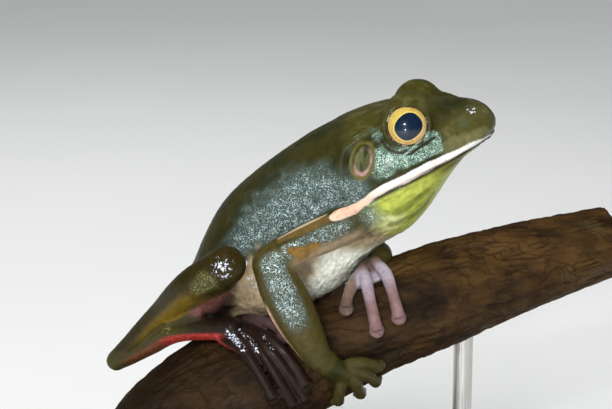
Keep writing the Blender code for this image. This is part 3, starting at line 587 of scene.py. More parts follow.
def head_forms():
    """Brows, nostril swellings, the edge from eye to nostril and the folds behind the eyes."""
    pieces = []
    for side in (RIGHT, LEFT):
        eye, axis = eye_place(side)
        brow = ball("brow", eye, BROW_RADIUS)
        clear = BROW_RADIUS + 2
        front = drum("front", eye, axis, clear, EYE_RING, clear)
        pieces.append(boolean(brow, front, "DIFFERENCE"))
        remove(front)
        pieces.append(ball("crown", head_point(*on_side(BROW_CROWN, side)), BROW_RADIUS - 0.15))
        radius, shift = NOSTRIL_SWELL
        pieces.append(ball("nostril", nostril_place(shift, side), radius))
        pieces.append(ball("snout", head_point(*SNOUT_FILL), SNOUT_RADIUS))
        for name, rows in (("canthus", CANTHUS), ("ear_fold", EAR_FOLD)):
            pieces.append(tube(name, [(*head_point(*row[:3]), row[3]) for row in sided(rows, side)]))
    return pieces


def head_edges():
    """The crisp edges of the head: lid rings, lips and the raised end of the pale stripe."""
    pieces = []
    for side in (RIGHT, LEFT):
        eye, axis = eye_place(side)
        pieces.append(ring("lid", eye + axis * (EYE_RING - 0.25), axis, EYE_RADIUS + 0.25, LID_THICKNESS))
        for lip, rise in ((LIP_RADIUS[0], UPPER_LIP_RISE), (LIP_RADIUS[1], LOWER_LIP_RISE)):
            pieces.append(tube("lip", lip_path(lip, rise, side), steps=3))
        lobe = [(x, (y - LOBE_SUNK) * side, z, half) for x, y, z, half in LIP_STRIPE[LOBE_START:]]
        pieces.append(tube("lobe", lobe))
    return pieces


def digit(base, places, radius, disc):
    """A finger or toe from the palm along the perch, with a flat round disc at its tip."""
    points = [(*base, radius * DIGIT_ROOT)]
    for place_on, lift, swell in zip(places, DIGIT_LIFTS, DIGIT_SWELLS):
        points.append((*on_perch(*place_on, lift * radius), swell * radius))
    tip = on_perch(*places[-1], DISC_LIFT)
    below = on_perch(*places[-1], -DISC_LIFT)
    pad = ball("disc", tip, disc, scale=(1, 1, DISC_FLAT), axis=(tip - below).normalized())
    return [tube("digit", points, steps=6, resolution=4), pad]


def web(base, first, second):
    """The skin between two digits, as a thin wedge that follows them to their second joints."""
    rows = []
    for near, far in zip(first[:2], second[:2]):
        tops = [on_perch(*spot, WEB_TOP) for spot in (near, far)]
        lows = [on_perch(*spot, WEB_TOP - WEB_THICKNESS) for spot in (far, near)]
        rows.append([*tops, *lows])
    return loft("web", [[Vector(base).lerp(p, 0.25) for p in rows[0]], *rows])


def paw_pieces(path, digits, radius):
    """A hand or foot: its palm or tarsus, its digits and the web between their roots."""
    pieces = [tube("palm", path)]
    pieces.extend(ball("end", end[:3], end[3]) for end in (path[0], path[-1]))
    for places in digits:
        pieces.extend(digit(path[-1][:3], places, radius, DISC_RADIUS))
    for first, second in zip(digits, digits[1:]):
        pieces.append(web(path[-1][:3], first, second))
    return pieces


def make_skin():
    """Head, torso, limbs, hands and feet as one fused skin that rests on the perch."""
    trunk = loft("trunk", smooth_rings([*head_rings(), *torso_rings()]))
    trunk = fused("trunk", [trunk, *head_forms()], COARSE_VOXEL, HEAD_SMOOTHING)
    coarse, fine = [trunk], head_edges()
    for side in (RIGHT, LEFT):
        for limb in (UPPER_ARM, FOREARM, THIGH, SHANK):
            points = sided(limb[side], side)
            coarse.append(tube("limb", points))
            coarse.extend(ball("end", end[:3], end[3]) for end in (points[0], points[-1]))
        if side == RIGHT:
            coarse.append(tube("fold", sided(CALF_FOLD, side)))
        fine.extend(paw_pieces(PALM[side], FINGERS[side], FINGER_RADIUS))
        fine.extend(paw_pieces(TARSUS[side], TOES[side], TOE_RADIUS))
    body = fused("body", coarse, COARSE_VOXEL, BODY_SMOOTHING)
    skin = fused("frog_skin", [body, *fine], FINE_VOXEL, SKIN_SMOOTHING)
    perch = loft("perch", perch_rings(4, 48))
    boolean(skin, perch, "DIFFERENCE")
    remove(perch)
    for side in (RIGHT, LEFT):
        eye, axis = eye_place(side)
        socket = ball("socket", eye, EYE_RADIUS + SOCKET_GAP)
        opening = drum("opening", eye, axis, EYE_RADIUS * OPENING_SHARE, OPENING_START, OPENING_END)
        radius, shift = NOSTRIL_PIT
        pit = ball("pit", nostril_place(shift, side), radius)
        for cutter in (socket, opening, pit):
            boolean(skin, cutter, "DIFFERENCE")
            remove(cutter)
    return largest_only(skin)


def perch_rings(steps, sides):
    """The perch's rings with the same broad relief as its solid."""
    path = smooth_path(PERCH_AXIS, steps)
    rings = []
    for i, row in enumerate(path):
        ahead = path[min(i + 1, len(path) - 1)].xyz - path[max(i - 1, 0)].xyz
        up, out = across_perch(ahead.normalized())
        along = i * 4 / steps
        points = []
        for k in range(sides):
            angle = math.tau * k / sides
            relief = math.sin(3 * angle + 0.31 * along) + 0.6 * math.sin(7 * angle - 0.5 * along)
            radius = row[3] - 0.5 + BARK_RELIEF * relief
            points.append(row.xyz + (up * math.cos(angle) + out * math.sin(angle)) * radius)
        rings.append(points)
    return rings


# Markings and relief of the skin

FAR = 1e6


def frog_points(mesh):
    """The mesh's points in the frog's frame and their normals."""
    count = len(mesh.vertices)
    points, normals = np.empty(count * 3), np.empty(count * 3)
    mesh.vertices.foreach_get("co", points)
    mesh.vertex_normals.foreach_get("vector", normals)
    points = points.reshape(-1, 3) / MM
    points += np.array((BASE_CENTRE[0], BASE_CENTRE[1], BASE_TOP - BASE_HEIGHT))
    return points, normals.reshape(-1, 3)


def ease(value, low, high):
    t = np.clip((value - low) / (high - low), 0.0, 1.0)
    return t * t * (3 - 2 * t)


def fade(value, low, high):
    return 1 - ease(value, low, high)


def beside(points, path, steps=6, margin=12.0):
    """Each point's distance from the path, share of the way along, the path's size there, and spoke."""
    rows = np.array([tuple(row) for row in smooth_path(path, steps)])
    low, high = rows[:, :3].min(axis=0) - margin, rows[:, :3].max(axis=0) + margin
    inside = np.all((points > low) & (points < high), axis=1)
    close = points[inside]
    gap = np.full(len(close), np.inf)
    share, size = np.zeros(len(close)), np.ones(len(close))
    spoke = np.zeros_like(close)
    for i, (a, b) in enumerate(zip(rows, rows[1:])):
        along = b[:3] - a[:3]
        t = np.clip((close - a[:3]) @ along / (along @ along), 0, 1)
        away = close - (a[:3] + t[:, None] * along)
        reach = np.linalg.norm(away, axis=1)
        near = reach < gap
        gap[near], spoke[near] = reach[near], away[near]
        share[near] = (i + t[near]) / (len(rows) - 1)
        size[near] = a[3] + t[near] * (b[3] - a[3])
    found = [np.full(len(points), FAR), np.zeros(len(points)), np.ones(len(points)), np.zeros_like(points)]
    for whole, part in zip(found, (gap, share, size, spoke / np.maximum(gap, 1e-6)[:, None])):
        whole[inside] = part
    return found


def stroke(points, path, soft, start=0.0):
    """A soft line along the path, whose rows end in half its width."""
    gap, _, size, _ = beside(points, path)
    return fade(gap - size, start, soft)


def raise_to(marks, name, value):
    """Keeps the stronger of a marking's strength so far and the given one."""
    marks[name] = np.maximum(marks.get(name, 0.0), value)


def facing(spoke, direction, low, high):
    return ease(spoke @ np.array(Vector(direction).normalized()), low, high)


def patches(points, rows, core=0.55, rim=1.25):
    """The strongest of several soft round patches at each point."""
    found = np.zeros(len(points))
    for x, y, z, radius, strength in rows:
        reach = np.linalg.norm(points - (x, y, z), axis=1) / radius
        found = np.maximum(found, strength * fade(reach, core, rim))
    return found


def torso_height(points):
    """From -1 at the belly to 1 at the back, across the torso's slanting sections."""
    along, across = np.array((0.88, 0.47)), np.array((-0.47, 0.88))
    rows = [(np.array(back), np.array(belly)) for back, belly, _, _ in TORSO_STATIONS]
    middles = np.array([(back + belly) / 2 for back, belly in rows])[::-1]
    halves = np.array([(back - belly) @ across / 2 for back, belly in rows])[::-1]
    flat = points[:, (0, 2)]
    place_along = middles @ along
    centre = np.interp(flat @ along, place_along, middles @ across)
    return (flat @ across - centre) / np.interp(flat @ along, place_along, halves), flat @ along


def ragged(points, size):
    """A smooth random number from about -0.5 to 0.5 at each point, the same at each run."""
    return np.array([noise.noise(Vector(point) / size) for point in points])


def markings(points):
    """Each marking's strength at each point of the skin."""
    mirrored = points * (1, 0, 1) + np.abs(points) * (0, 1, 0)
    c, s = math.cos(HEAD_PITCH), math.sin(HEAD_PITCH)
    ahead = points[:, 0] - MOUTH_FRONT[0]
    rise = points[:, 2] - MOUTH_FRONT[2]
    f, u = ahead * c + rise * s, rise * c - ahead * s
    height, along = torso_height(points)
    on_head = ease(f, -34.0, -28.0)
    on_trunk = (1 - on_head) * fade(mirrored[:, 1], 19.5, 22.5)
    mouth = np.interp(-f, [-row[0] for row in MOUTH_LINE], [row[2] for row in MOUTH_LINE])
    below = ease(mouth - u, 0.5, 1.6)
    edge = np.interp(along, [row[0] for row in BELLY_EDGE], [row[1] for row in BELLY_EDGE])
    top = np.interp(along, [row[0] for row in FLANK_TOP], [row[1] for row in FLANK_TOP])
    rough = ragged(points, 2.4)
    near_mouth = fade(mouth - u, 1.6, 4.0)
    throat = below * ease(f, -38.0, -30.0) * fade(-f, 34.0, 40.0)
    flank = ease(height - edge, 0.0, 0.25) * fade(height - top + 0.15 * rough, -0.32, 0.14) * on_trunk
    marks = {
        "belly": fade(height - edge + 0.15 * rough, -0.16, 0.2) * on_trunk,
        "chest": patches(mirrored, CHEST_PATCHES) * on_trunk,
        "throat": throat,
        # The jaw marking is painted shade: the throat just under the front of the mouth darkened, as if in
        # the upper lip's shadow
        "jaw": throat * np.maximum(ease(f, -12.0, -7.5), near_mouth * ease(f, -20.0, -9.0)),
        "snout": ease(f, -13.0, -4.0) * (1 - below) * fade(u, 9.0, 13.0),
        "crown": on_head * ease(u, 14.0, 19.0),
        "flank": flank,
        "glint": np.maximum(patches(mirrored, PAINTED_GLINT_PATCHES, 0.1, 1.7), 0.76 * flank),
    # Painted glints: pale highlights on the granules of the flank and of the listed patches
    }
    gap, share, size, spoke = beside(mirrored, LIP_STRIPE)
    stripe = fade(gap - size * (1 + 0.16 * rough), 0.0, 0.24)
    salmon = ease(share, SALMON_FROM, SALMON_FULL)
    low_side = 0.45 * ease(gap / size, 0.35, 0.9) * facing(spoke, (0.2, 0.2, -1.0), 0.1, 0.7)
    marks["lip"] = stripe
    marks["salmon"] = stripe * np.maximum(salmon, low_side)
    clear = ease(gap - size, 0.5, 1.5)
    # Painted glints on the granules of the cheek, kept clear of the stripe
    marks["cheek"] = patches(mirrored, CHEEK_PAINTED_GLINTS) * on_head * (1 - below) * clear
    # The mouth marking sinks a groove along the mouth line and darkens it with painted shade, strongest at
    # the front
    mouth_groove_and_shade = stroke(mirrored, [(*head_point(*row), 0.0) for row in MOUTH_LINE], 0.65, 0.30)
    marks["mouth"] = mouth_groove_and_shade * (0.25 + 0.75 * ease(f, -22.0, -12.0)) * ease(f, -29.0, -24.0)
    for side in (RIGHT, LEFT):
        for limb in (arm_markings, leg_markings, digit_markings):
            limb(points, side, marks)
    # Painted glints along the seam over each upper arm
    raise_to(marks, "glint", patches(mirrored, SEAM_PAINTED_GLINTS, 0.4, 1.3))
    for name, path, soft in LINE_MARKS:
        raise_to(marks, name, stroke(mirrored, path, soft))
    gap, _, size, _ = beside(mirrored, ELBOW_TAN)
    marks["web"] = fade(gap - size + 0.8 * rough, -0.2, 0.8)
    marks["glint"] *= 1 - marks["web"]
    over = np.maximum.reduce([marks[name] for name in ("arm", "shank", "toes", "pink", "hand")])
    for name in ("belly", "chest", "flank"):
        marks[name] *= 1 - over
    # Painted highlights: bright spots and streaks of light on knees, snout, belly and toes
    marks["wet"] = patches(mirrored, PAINTED_HIGHLIGHT_SPOTS)
    for path, strength in zip(TOE_PAINTED_HIGHLIGHTS, TOE_HIGHLIGHT_STRENGTHS):
        raise_to(marks, "wet", strength * stroke(mirrored, path, 0.5))
    # A painted highlight on the throat
    marks["pale_throat"] = patches(mirrored, THROAT_PAINTED_HIGHLIGHTS) * throat
    marks["grain"] = patches(mirrored, GRAIN_PATCHES)
    ear_markings(points, marks)
    return marks


def along_limb(points, rows):
    """How far each point is from the limb's middle in its radii, how far along, and its spoke."""
    gap, share, size, spoke = beside(points, rows)
    return gap / size, share, spoke


def arm_markings(points, side, marks):
    """The upper arm's pale underside, painted glints on the granules outside, the salmon edge of the
    forearm, and painted shade on the hand.
    """
    reach, share, spoke = along_limb(points, sided(UPPER_ARM[side], side))
    upper = facing(spoke, (-0.3, 0.0, 0.95), 0.1, 0.8)
    on_limb = fade(reach + 0.28 * upper, 1.10, 1.32) * ease(share, 0.12, 0.3)
    lower = facing(spoke, (0.4, 0.1 * side, -0.9), 0.2, 0.75)
    raise_to(marks, "under", on_limb * lower * fade(share, 0.7, 0.9))
    arm_painted_glints(marks, side, share, spoke, on_limb, UPPER_GLINTS)
    reach, share, spoke = along_limb(points, sided(FOREARM[side], side))
    on_limb = fade(reach, 1.12, 1.35)
    arm_painted_glints(marks, side, share, spoke, on_limb, FORE_GLINTS)
    rear = (-0.85, 0.5 * side, -0.15) if side == RIGHT else (-0.5, -0.4, -0.75)
    edge = facing(spoke, rear, 0.93, 0.975) * ease(share, 0.3, 0.42) * fade(share, 0.85, 1.0)
    raise_to(marks, "salmon", edge * on_limb)
    # Painted shade: the wrist and hand darkened, as if in shadow
    raise_to(marks, "hand", on_limb * ease(share, 0.78, 0.98))


def leg_markings(points, side, marks):
    """The shank and its gold underside, the groin, and the tarsus with its crimson edge."""
    reach, share, spoke = along_limb(points, sided(SHANK[side], side))
    on_shank = fade(reach, 1.12, 1.35)
    raise_to(marks, "shank", on_shank)
    low = facing(spoke, (0.3, 0.5 * side, -0.75), 0.36, 0.92)
    raise_to(marks, "gold", on_shank * low * ease(share, 0.12, 0.3) * fade(share, 0.6, 0.9))
    reach, share, spoke = along_limb(points, sided(THIGH[side], side))
    under = facing(spoke, (0.1, 0.2 * side, -1.0), -0.2, 0.4)
    raise_to(marks, "groin", under * fade(reach, 1.15, 1.5) * (1 - marks["shank"]))
    reach, share, spoke = along_limb(points, TARSUS[side])
    on_tarsus = fade(reach, 1.15, 1.45)
    raise_to(marks, "toes", on_tarsus * ease(share, 0.6, 0.95))
    raise_to(marks, "hand", on_tarsus * fade(share, 0.6, 0.95))
    edge = facing(spoke, (-0.05, 0.3 * side, -0.95), 0.34, 0.52) * on_tarsus * fade(share, 0.9, 1.0)
    strength = 0.25 * ease(share, 0.05, 0.25) + 0.7 * ease(share, 0.46, 0.64)
    raise_to(marks, "crimson", edge * strength)


def digit_markings(points, side, marks):
    """Dark toes with a crimson outer edge, and fingers that are pink on the far hand."""
    for number, places in enumerate(TOES[side]):
        near, share, spoke = on_digit(points, TARSUS[side], places)
        raise_to(marks, "toes", near)
        if number == 0:
            raise_to(marks, "pink", 0.35 * near * ease(share, 0.2, 0.5))
        if number == len(TOES[side]) - 1:
            edge = facing(spoke, (-0.8, 0.25 * side, -0.5), 0.30, 0.70) * ease(share, 0.01, 0.06)
            raise_to(marks, "crimson", 0.8 * near * edge * fade(share, 0.3, 0.5))
    for number, places in enumerate(FINGERS[side]):
        near, share, spoke = on_digit(points, PALM[side], places)
        # The near hand's fingers take the hand's painted shade
        if side == RIGHT:
            raise_to(marks, "hand", near)
            continue
        strength = (0.45 if number == 0 else 1.0) * ease(share, 0.2, 0.36)
        raise_to(marks, "pink", near * strength)
        raise_to(marks, "hand", near * (1 - strength))
        if number > 0:
            raise_to(marks, "lilac", near * ease(share, 0.3, 0.42) * fade(share, 0.5, 0.78))
    if side == LEFT:
        raise_to(marks, "hand", fade(along_limb(points, PALM[side])[0], 1.1, 1.4))


def arm_painted_glints(marks, side, share, spoke, on_limb, ends):
    """Marks the arm's skin, with painted glints on its granules in a band on the outer face."""
    first, last = ends
    raise_to(marks, "arm", on_limb)
    along = ease(share, first, first + 0.2) * fade(share, last - 0.3, last)
    band = ARM_GLINT * facing(spoke, ARM_OUTWARD[side], 0.56 + 0.16 * share, 0.98) * along
    marks["glint"] = marks["glint"] * (1 - on_limb) + on_limb * band


def on_digit(points, base, places):
    """Where the skin belongs to a finger or toe, the share of the way along it, and the spoke."""
    path = [(*base[-1][:3], 1.5)] + [(*on_perch(*spot, 1.0), 1.5) for spot in places]
    gap, share, _, spoke = beside(points, path)
    return fade(gap, 2.3, 3.4), share, spoke


def ear_markings(points, marks):
    """The eardrum's raised rim, pink border and brown centre."""
    for side in (RIGHT, LEFT):
        offset = points - np.array(head_point(*on_side(EAR_AT, side)))
        look = head_direction(*on_side(EAR_AXIS, side))
        up = (Vector((0, 0, 1)) - look * look.z).normalized()
        ahead = up.cross(look) * -side
        across, tall = offset @ ahead / EAR_MARK[0], offset @ up / EAR_MARK[1]
        reach = np.hypot(across, tall)
        close = (np.abs(offset @ look) < 4.0).astype(float)
        raise_to(marks, "ear_rim", close * fade(np.abs(reach - 1.02), 0.06, 0.18))
        front = ease(0.55 * across - 0.75 * tall, -0.65, 0.35)
        raise_to(marks, "ear_pink", close * fade(np.abs(reach - 0.78), 0.06, 0.20) * front)
        raise_to(marks, "ear_drum", close * fade(reach, 0.86, 0.96))


def relief(points, marks):
    """How far each point moves along its normal: granules, folds and the eardrum, in millimetres."""
    grain = 0.05 + 0.18 * marks["belly"] + 0.08 * marks["glint"]
    grain += 0.05 * marks["throat"] + 0.08 * marks["chest"]
    smooth_places = np.maximum.reduce([marks[name] for name in ("lip", "ear_drum", "toes", "pink", "hand")])
    grain *= 1 - 0.8 * smooth_places
    fold = 0.05 + 0.05 * marks["throat"] + 0.22 * marks["groin"] + 0.20 * marks["belly"]
    fold *= 1 - np.maximum.reduce([smooth_places, marks["mouth"], 0.8 * marks["chest"]])
    moved = np.zeros(len(points))
    for i, point in enumerate(points):
        spot = Vector(point)
        cell = noise.voronoi(spot / GRANULE_SIZE)[0][0]
        drawn_out = Vector((spot.x * 0.34 + spot.z * 0.2, spot.y * 0.16, spot.z * 0.22 - spot.x * 0.1))
        crease = abs(noise.noise(drawn_out))
        broad = noise.noise(spot / SWELL_SIZE)
        moved[i] = grain[i] * (0.35 - cell) * 1.6 - fold[i] * max(0.0, 1 - crease * 7) + 0.12 * broad
    moved += 0.32 * marks["ear_rim"] - 0.35 * marks["ear_drum"]
    moved += 0.22 * np.maximum(marks["lip"], marks["salmon"] * 0.6) - 0.25 * marks["mouth"]
    moved -= 0.22 * marks["crease"] + 0.25 * marks["fold"]
    return moved


def dress_skin(skin):
    """Moves the skin's points by its relief and writes its markings on it."""
    skin.data.shade_smooth()
    points, normals = frog_points(skin.data)
    marks = markings(points)
    moved = points + normals * relief(points, marks)[:, None]
    moved -= np.array((BASE_CENTRE[0], BASE_CENTRE[1], BASE_TOP - BASE_HEIGHT))
    skin.data.vertices.foreach_set("co", (moved * MM).ravel())
    for name, values in marks.items():
        attribute = skin.data.attributes.new(name, "FLOAT", "POINT")
        attribute.data.foreach_set("value", values.astype(np.float32))
    skin.data.update()


# Materials


class Graph:
    """A node-based material under construction, with short calls for its usual nodes."""

    def __init__(self, name):
        self.material = bpy.data.materials.new(name)
        self.material.use_nodes = True
        self.tree = self.material.node_tree
        self.shader = self.tree.nodes["Principled BSDF"]
        self.coords = self.tree.nodes.new("ShaderNodeTexCoord").outputs["Object"]

    def node(self, kind, settings=None, **inputs):
        made = self.tree.nodes.new("ShaderNode" + kind)
        for key, value in (settings or {}).items():
            setattr(made, key, value)
        for key, value in inputs.items():
            self.put(made.inputs[key.replace("_", " ")], value)
        return made

    def put(self, socket, value):
        if isinstance(value, bpy.types.NodeSocket):
            self.tree.links.new(value, socket)
        else:
            socket.default_value = value

    def attribute(self, name):
        return self.node("Attribute", {"attribute_name": name}).outputs["Fac"]

    def lay(self, factor, tone):
        """Lays a tone over the colour so far, by a factor or by the marking of that name."""
        if isinstance(factor, str):
            factor = self.attribute(factor)
        self.colour = self.mix(factor, self.colour, tone)

    def times(self, a, b):
        return self.math("MULTIPLY", a, b)

    def plus(self, a, b):
        return self.math("ADD", a, b)

    def minus(self, a, b):
        return self.math("SUBTRACT", a, b)

    def math(self, operation, a, b=0.0):
        made = self.node("Math", {"operation": operation, "use_clamp": False})
        self.put(made.inputs[0], a)
        self.put(made.inputs[1], b)
        return made.outputs[0]

    def spread(self, value, low, high, start=0.0, end=1.0):
        made = self.node("MapRange", {"clamp": True})
        keys = ("Value", "From Min", "From Max", "To Min", "To Max")
        for key, part in zip(keys, (value, low, high, start, end)):
            self.put(made.inputs[key], part)
        return made.outputs[0]

    def flecks(self, scale, detail, low, high, end=1.0):
        """Soft spots where a noise of this scale passes from low to high."""
        return self.spread(self.noise(scale, detail), low, high, 0.0, end)

    def warped(self, coords, scale, detail, reach):
        """The coordinates, each moved by a noise of this scale, at most as far as its reach."""
        push = self.node("TexNoise", Scale=scale, Detail=detail, Vector=self.coords)
        drift = self.node("VectorMath", {"operation": "SCALE"}, Scale=reach)
        self.put(drift.inputs[0], push.outputs["Color"])
        moved = self.node("VectorMath", {"operation": "ADD"})
        self.put(moved.inputs[0], coords)
        self.put(moved.inputs[1], drift.outputs[0])
        return moved.outputs[0]

    def mix(self, factor, a, b, blend="MIX"):
        made = self.node("Mix", {"data_type": "RGBA", "blend_type": blend})
        self.put(made.inputs["Factor"], factor)
        for socket, value in ((made.inputs[6], a), (made.inputs[7], b)):
            self.put(socket, value if isinstance(value, bpy.types.NodeSocket) else (*value, 1.0))
        return made.outputs[2]

    def noise(self, scale, detail=3.0, roughness=0.55, coords=None, distortion=0.0):
        made = self.node("TexNoise", Scale=scale, Detail=detail, Roughness=roughness, Distortion=distortion)
        self.put(made.inputs["Vector"], coords or self.coords)
        return made.outputs["Fac"]

    def cells(self, scale, coords=None, feature="F1"):
        made = self.node("TexVoronoi", {"feature": feature}, Scale=scale)
        self.put(made.inputs["Vector"], coords or self.coords)
        return made

    def stretched(self, scale, rotation=(0.0, 0.0, 0.0)):
        made = self.node("Mapping", Scale=scale, Rotation=rotation)
        self.put(made.inputs["Vector"], self.coords)
        return made.outputs["Vector"]

    def bump(self, height, strength, distance, normal=None):
        made = self.node("Bump", Strength=strength, Distance=distance, Height=height)
        if normal:
            self.put(made.inputs["Normal"], normal)
        return made.outputs["Normal"]

    def finish(self, **inputs):
        """Gives the shader the colour so far and its other inputs."""
        for key, value in {"Base_Color": self.colour, **inputs}.items():
            self.put(self.shader.inputs[key.replace("_", " ")], value)
        return self.material


# Colours of the skin's markings, laid one over another: attribute, colour, strength
SKIN_LAYERS = (
    ("crown", (0.044, 0.040, 0.006), 0.85),
    ("snout", (0.060, 0.055, 0.014), 0.85),
    ("flank", (0.046, 0.064, 0.058), 0.75),
    ("belly", (0.400, 0.310, 0.190), 1.0),
    ("chest", (0.940, 0.960, 0.820), 1.0),
    ("throat", (0.330, 0.375, 0.062), 1.0),
    # Painted highlight on the throat
    ("pale_throat", (0.560, 0.580, 0.300), 0.8),
    # Painted shade in the throat's folds
    ("fold", (0.110, 0.135, 0.016), 0.6),
    # Painted shade on the front of the lower jaw
    ("jaw", (0.040, 0.030, 0.008), 0.92),
    ("arm", (0.050, 0.039, 0.008), 1.0),
    ("under", (0.300, 0.225, 0.140), 0.85),
    ("shank", (0.021, 0.015, 0.002), 0.97),
    ("gold", (0.135, 0.086, 0.009), 0.92),
    ("grain", (0.075, 0.075, 0.030), 0.5),
    ("groin", (0.130, 0.050, 0.040), 0.95),
    # hand: a darker tone, painted shade on the hands and wrists, also laid on the heels
    ("hand", (0.042, 0.034, 0.009), 0.95),
    ("toes", (0.012, 0.006, 0.004), 1.0),
    ("pink", (0.178, 0.105, 0.106), 0.95),
    ("lilac", (0.330, 0.300, 0.360), 0.85),
    ("web", (0.165, 0.092, 0.021), 0.90),
    ("arm_tan", (0.150, 0.090, 0.026), 0.55),
)
BACK_TONES = ((0.015, 0.017, 0.0035), (0.035, 0.031, 0.0065), (0.008, 0.010, 0.002))
# How the bark's grain is turned to run along the perch
BARK_TURN = (0.0, 0.4, 0.35)


def painted_glint_network(g, scale, marking, pale):
    """A fine, broken network of painted highlights, pale lines of light on the granules where the marking is
    strong, and its colours.
    """
    waves = g.noise(scale, 1.0, 0.6, g.warped(g.coords, scale * 0.6, 1.0, 0.5 / scale))
    ridge = g.math("ABSOLUTE", g.minus(waves, 0.5))
    broad = g.spread(g.noise(scale * 0.13, 3.0), 0.32, 0.64, 0.72, 1.18)
    patchy = g.times(marking, broad)
    line = g.spread(ridge, g.spread(patchy, 0.12, 1.0, 0.0, 0.080), g.spread(patchy, 0.12, 1.0, -0.03, 0.02))
    grain = g.node("SeparateColor", Color=g.cells(scale * 1.1).outputs["Color"]).outputs[0]
    line = g.times(line, g.spread(grain, 0.1, 0.8, 0.30, 1.0))
    brightness = g.times(g.spread(patchy, 0.25, 1.0), g.spread(grain, 0.0, 1.0, 0.5, 1.0))
    return g.times(line, g.spread(patchy, 0.08, 0.4)), g.mix(brightness, *pale)


def skin_material():
    g = Graph("frog_skin")
    cloud = g.noise(160.0, 4.0)
    mottle = g.noise(620.0, 3.0)
    g.colour = g.mix(g.spread(cloud, 0.35, 0.65), BACK_TONES[0], BACK_TONES[1])
    g.lay(g.spread(mottle, 0.45, 0.75, 0.0, 0.5), BACK_TONES[2])
    dapple = g.flecks(330.0, 4.0, 0.50, 0.68)
    for name, tone, strength in SKIN_LAYERS:
        shade = g.mix(g.spread(mottle, 0.3, 0.7), [v * 0.75 for v in tone], [v * 1.2 for v in tone])
        g.lay(g.times(g.attribute(name), strength), shade)
    on_face = g.math("MAXIMUM", g.attribute("snout"), g.times(g.attribute("crown"), 0.5))
    g.lay(g.times(g.times(on_face, dapple), 0.6), (0.150, 0.145, 0.060))
    band = g.times(g.attribute("lip_band"), g.spread(mottle, 0.2, 0.7, 0.2, 0.55))
    g.lay(band, (0.170, 0.165, 0.080))
    # Painted glints on the granules: a coarser network on body and limbs, a finer one on the cheeks, each
    # over a dull blue-grey that is partly the skin's tone and partly painted sheen
    shine = None
    for name, scale, tone_and_sheen, pale in (
        ("glint", 1850.0, (0.040, 0.058, 0.053), ((0.17, 0.25, 0.24), (0.66, 0.82, 0.82))),
        ("cheek", 2600.0, (0.045, 0.080, 0.060), ((0.17, 0.31, 0.25), (0.60, 0.83, 0.70))),
    ):
        marking = g.attribute(name)
        # A dull blue-grey under each network: partly the skin's own tone, partly painted sheen
        g.lay(g.spread(marking, 0.1, 0.9, 0.0, 0.7), tone_and_sheen)
        line, tone = painted_glint_network(g, scale, marking, pale)
        g.lay(line, tone)
        shine = line if shine is None else g.math("MAXIMUM", shine, line)
    granule = g.spread(g.cells(1500.0).outputs["Distance"], 0.50, 0.20, 0.0, 0.8)
    g.lay(g.times(g.attribute("grain"), granule), (0.22, 0.21, 0.070))
    g.lay(g.times(g.attribute("arm_line"), 0.8), (0.42, 0.34, 0.24))
    # Ear, lip and mouth lie over the rest
    # Painted shade in the creases under the eye
    g.lay("crease", (0.018, 0.017, 0.006))
    g.lay("ear_rim", (0.085, 0.078, 0.014))
    streaks = g.noise(420.0, 3.0, 0.6, g.stretched((1.6, 1.0, 0.5)))
    g.lay("ear_drum", g.mix(g.spread(streaks, 0.4, 0.6), (0.022, 0.024, 0.010), (0.085, 0.088, 0.034)))
    ear_pink = g.mix(g.spread(mottle, 0.35, 0.65), (0.200, 0.130, 0.100), (0.350, 0.220, 0.185))
    g.lay(g.times(g.attribute("ear_pink"), 0.9), ear_pink)
    red = g.mix(g.spread(mottle, 0.3, 0.7), (0.16, 0.010, 0.009), (0.32, 0.028, 0.022))
    red = g.mix(g.flecks(1300.0, 2.0, 0.54, 0.68, 0.8), red, (0.40, 0.075, 0.06))
    g.lay("crimson", red)
    pink_fleck = g.flecks(520.0, 3.0, 0.50, 0.66, 0.55)
    g.lay("lip", g.mix(pink_fleck, (0.64, 0.64, 0.61), (0.60, 0.42, 0.38)))
    salmon_fleck = g.flecks(900.0, 2.0, 0.55, 0.68)
    g.lay("salmon", g.mix(salmon_fleck, (0.62, 0.41, 0.30), (0.54, 0.26, 0.19)))
    # Painted shade along the mouth line
    g.lay("mouth", (0.016, 0.010, 0.005))
    # Painted highlights, broken up into flecks
    highlight_breakup = g.flecks(1700.0, 2.0, 0.62, 0.50)
    wet = g.spread(g.minus(g.attribute("wet"), highlight_breakup), 0.0, 0.35)
    g.lay(wet, (0.60, 0.64, 0.76))
    grain = g.minus(1.0, g.cells(1750.0).outputs["Distance"])
    height = g.plus(g.times(grain, 0.7), g.times(g.noise(2600.0, 2.0), 0.35))
    normal = g.bump(height, 0.5, 0.00014)
    roughness = g.spread(g.minus(mottle, g.times(shine, 0.25)), 0.2, 0.8, 0.30, 0.5)
    coat = {"Coat_Weight": 0.12, "Coat_Roughness": 0.13, "Coat_IOR": 1.35}
    inner = {"Subsurface_Weight": 0.06, "Subsurface_Radius": (1.0, 0.45, 0.25), "Subsurface_Scale": 0.0008}
    return g.finish(Roughness=roughness, Normal=normal, Specular_IOR_Level=0.12, **coat, **inner)


PUPIL_AT, PUPIL_HALF, PUPIL_TURN = (0.0001, -0.0004), (0.00360, 0.00320), 0.22
IRIS_RADIUS = 0.00478


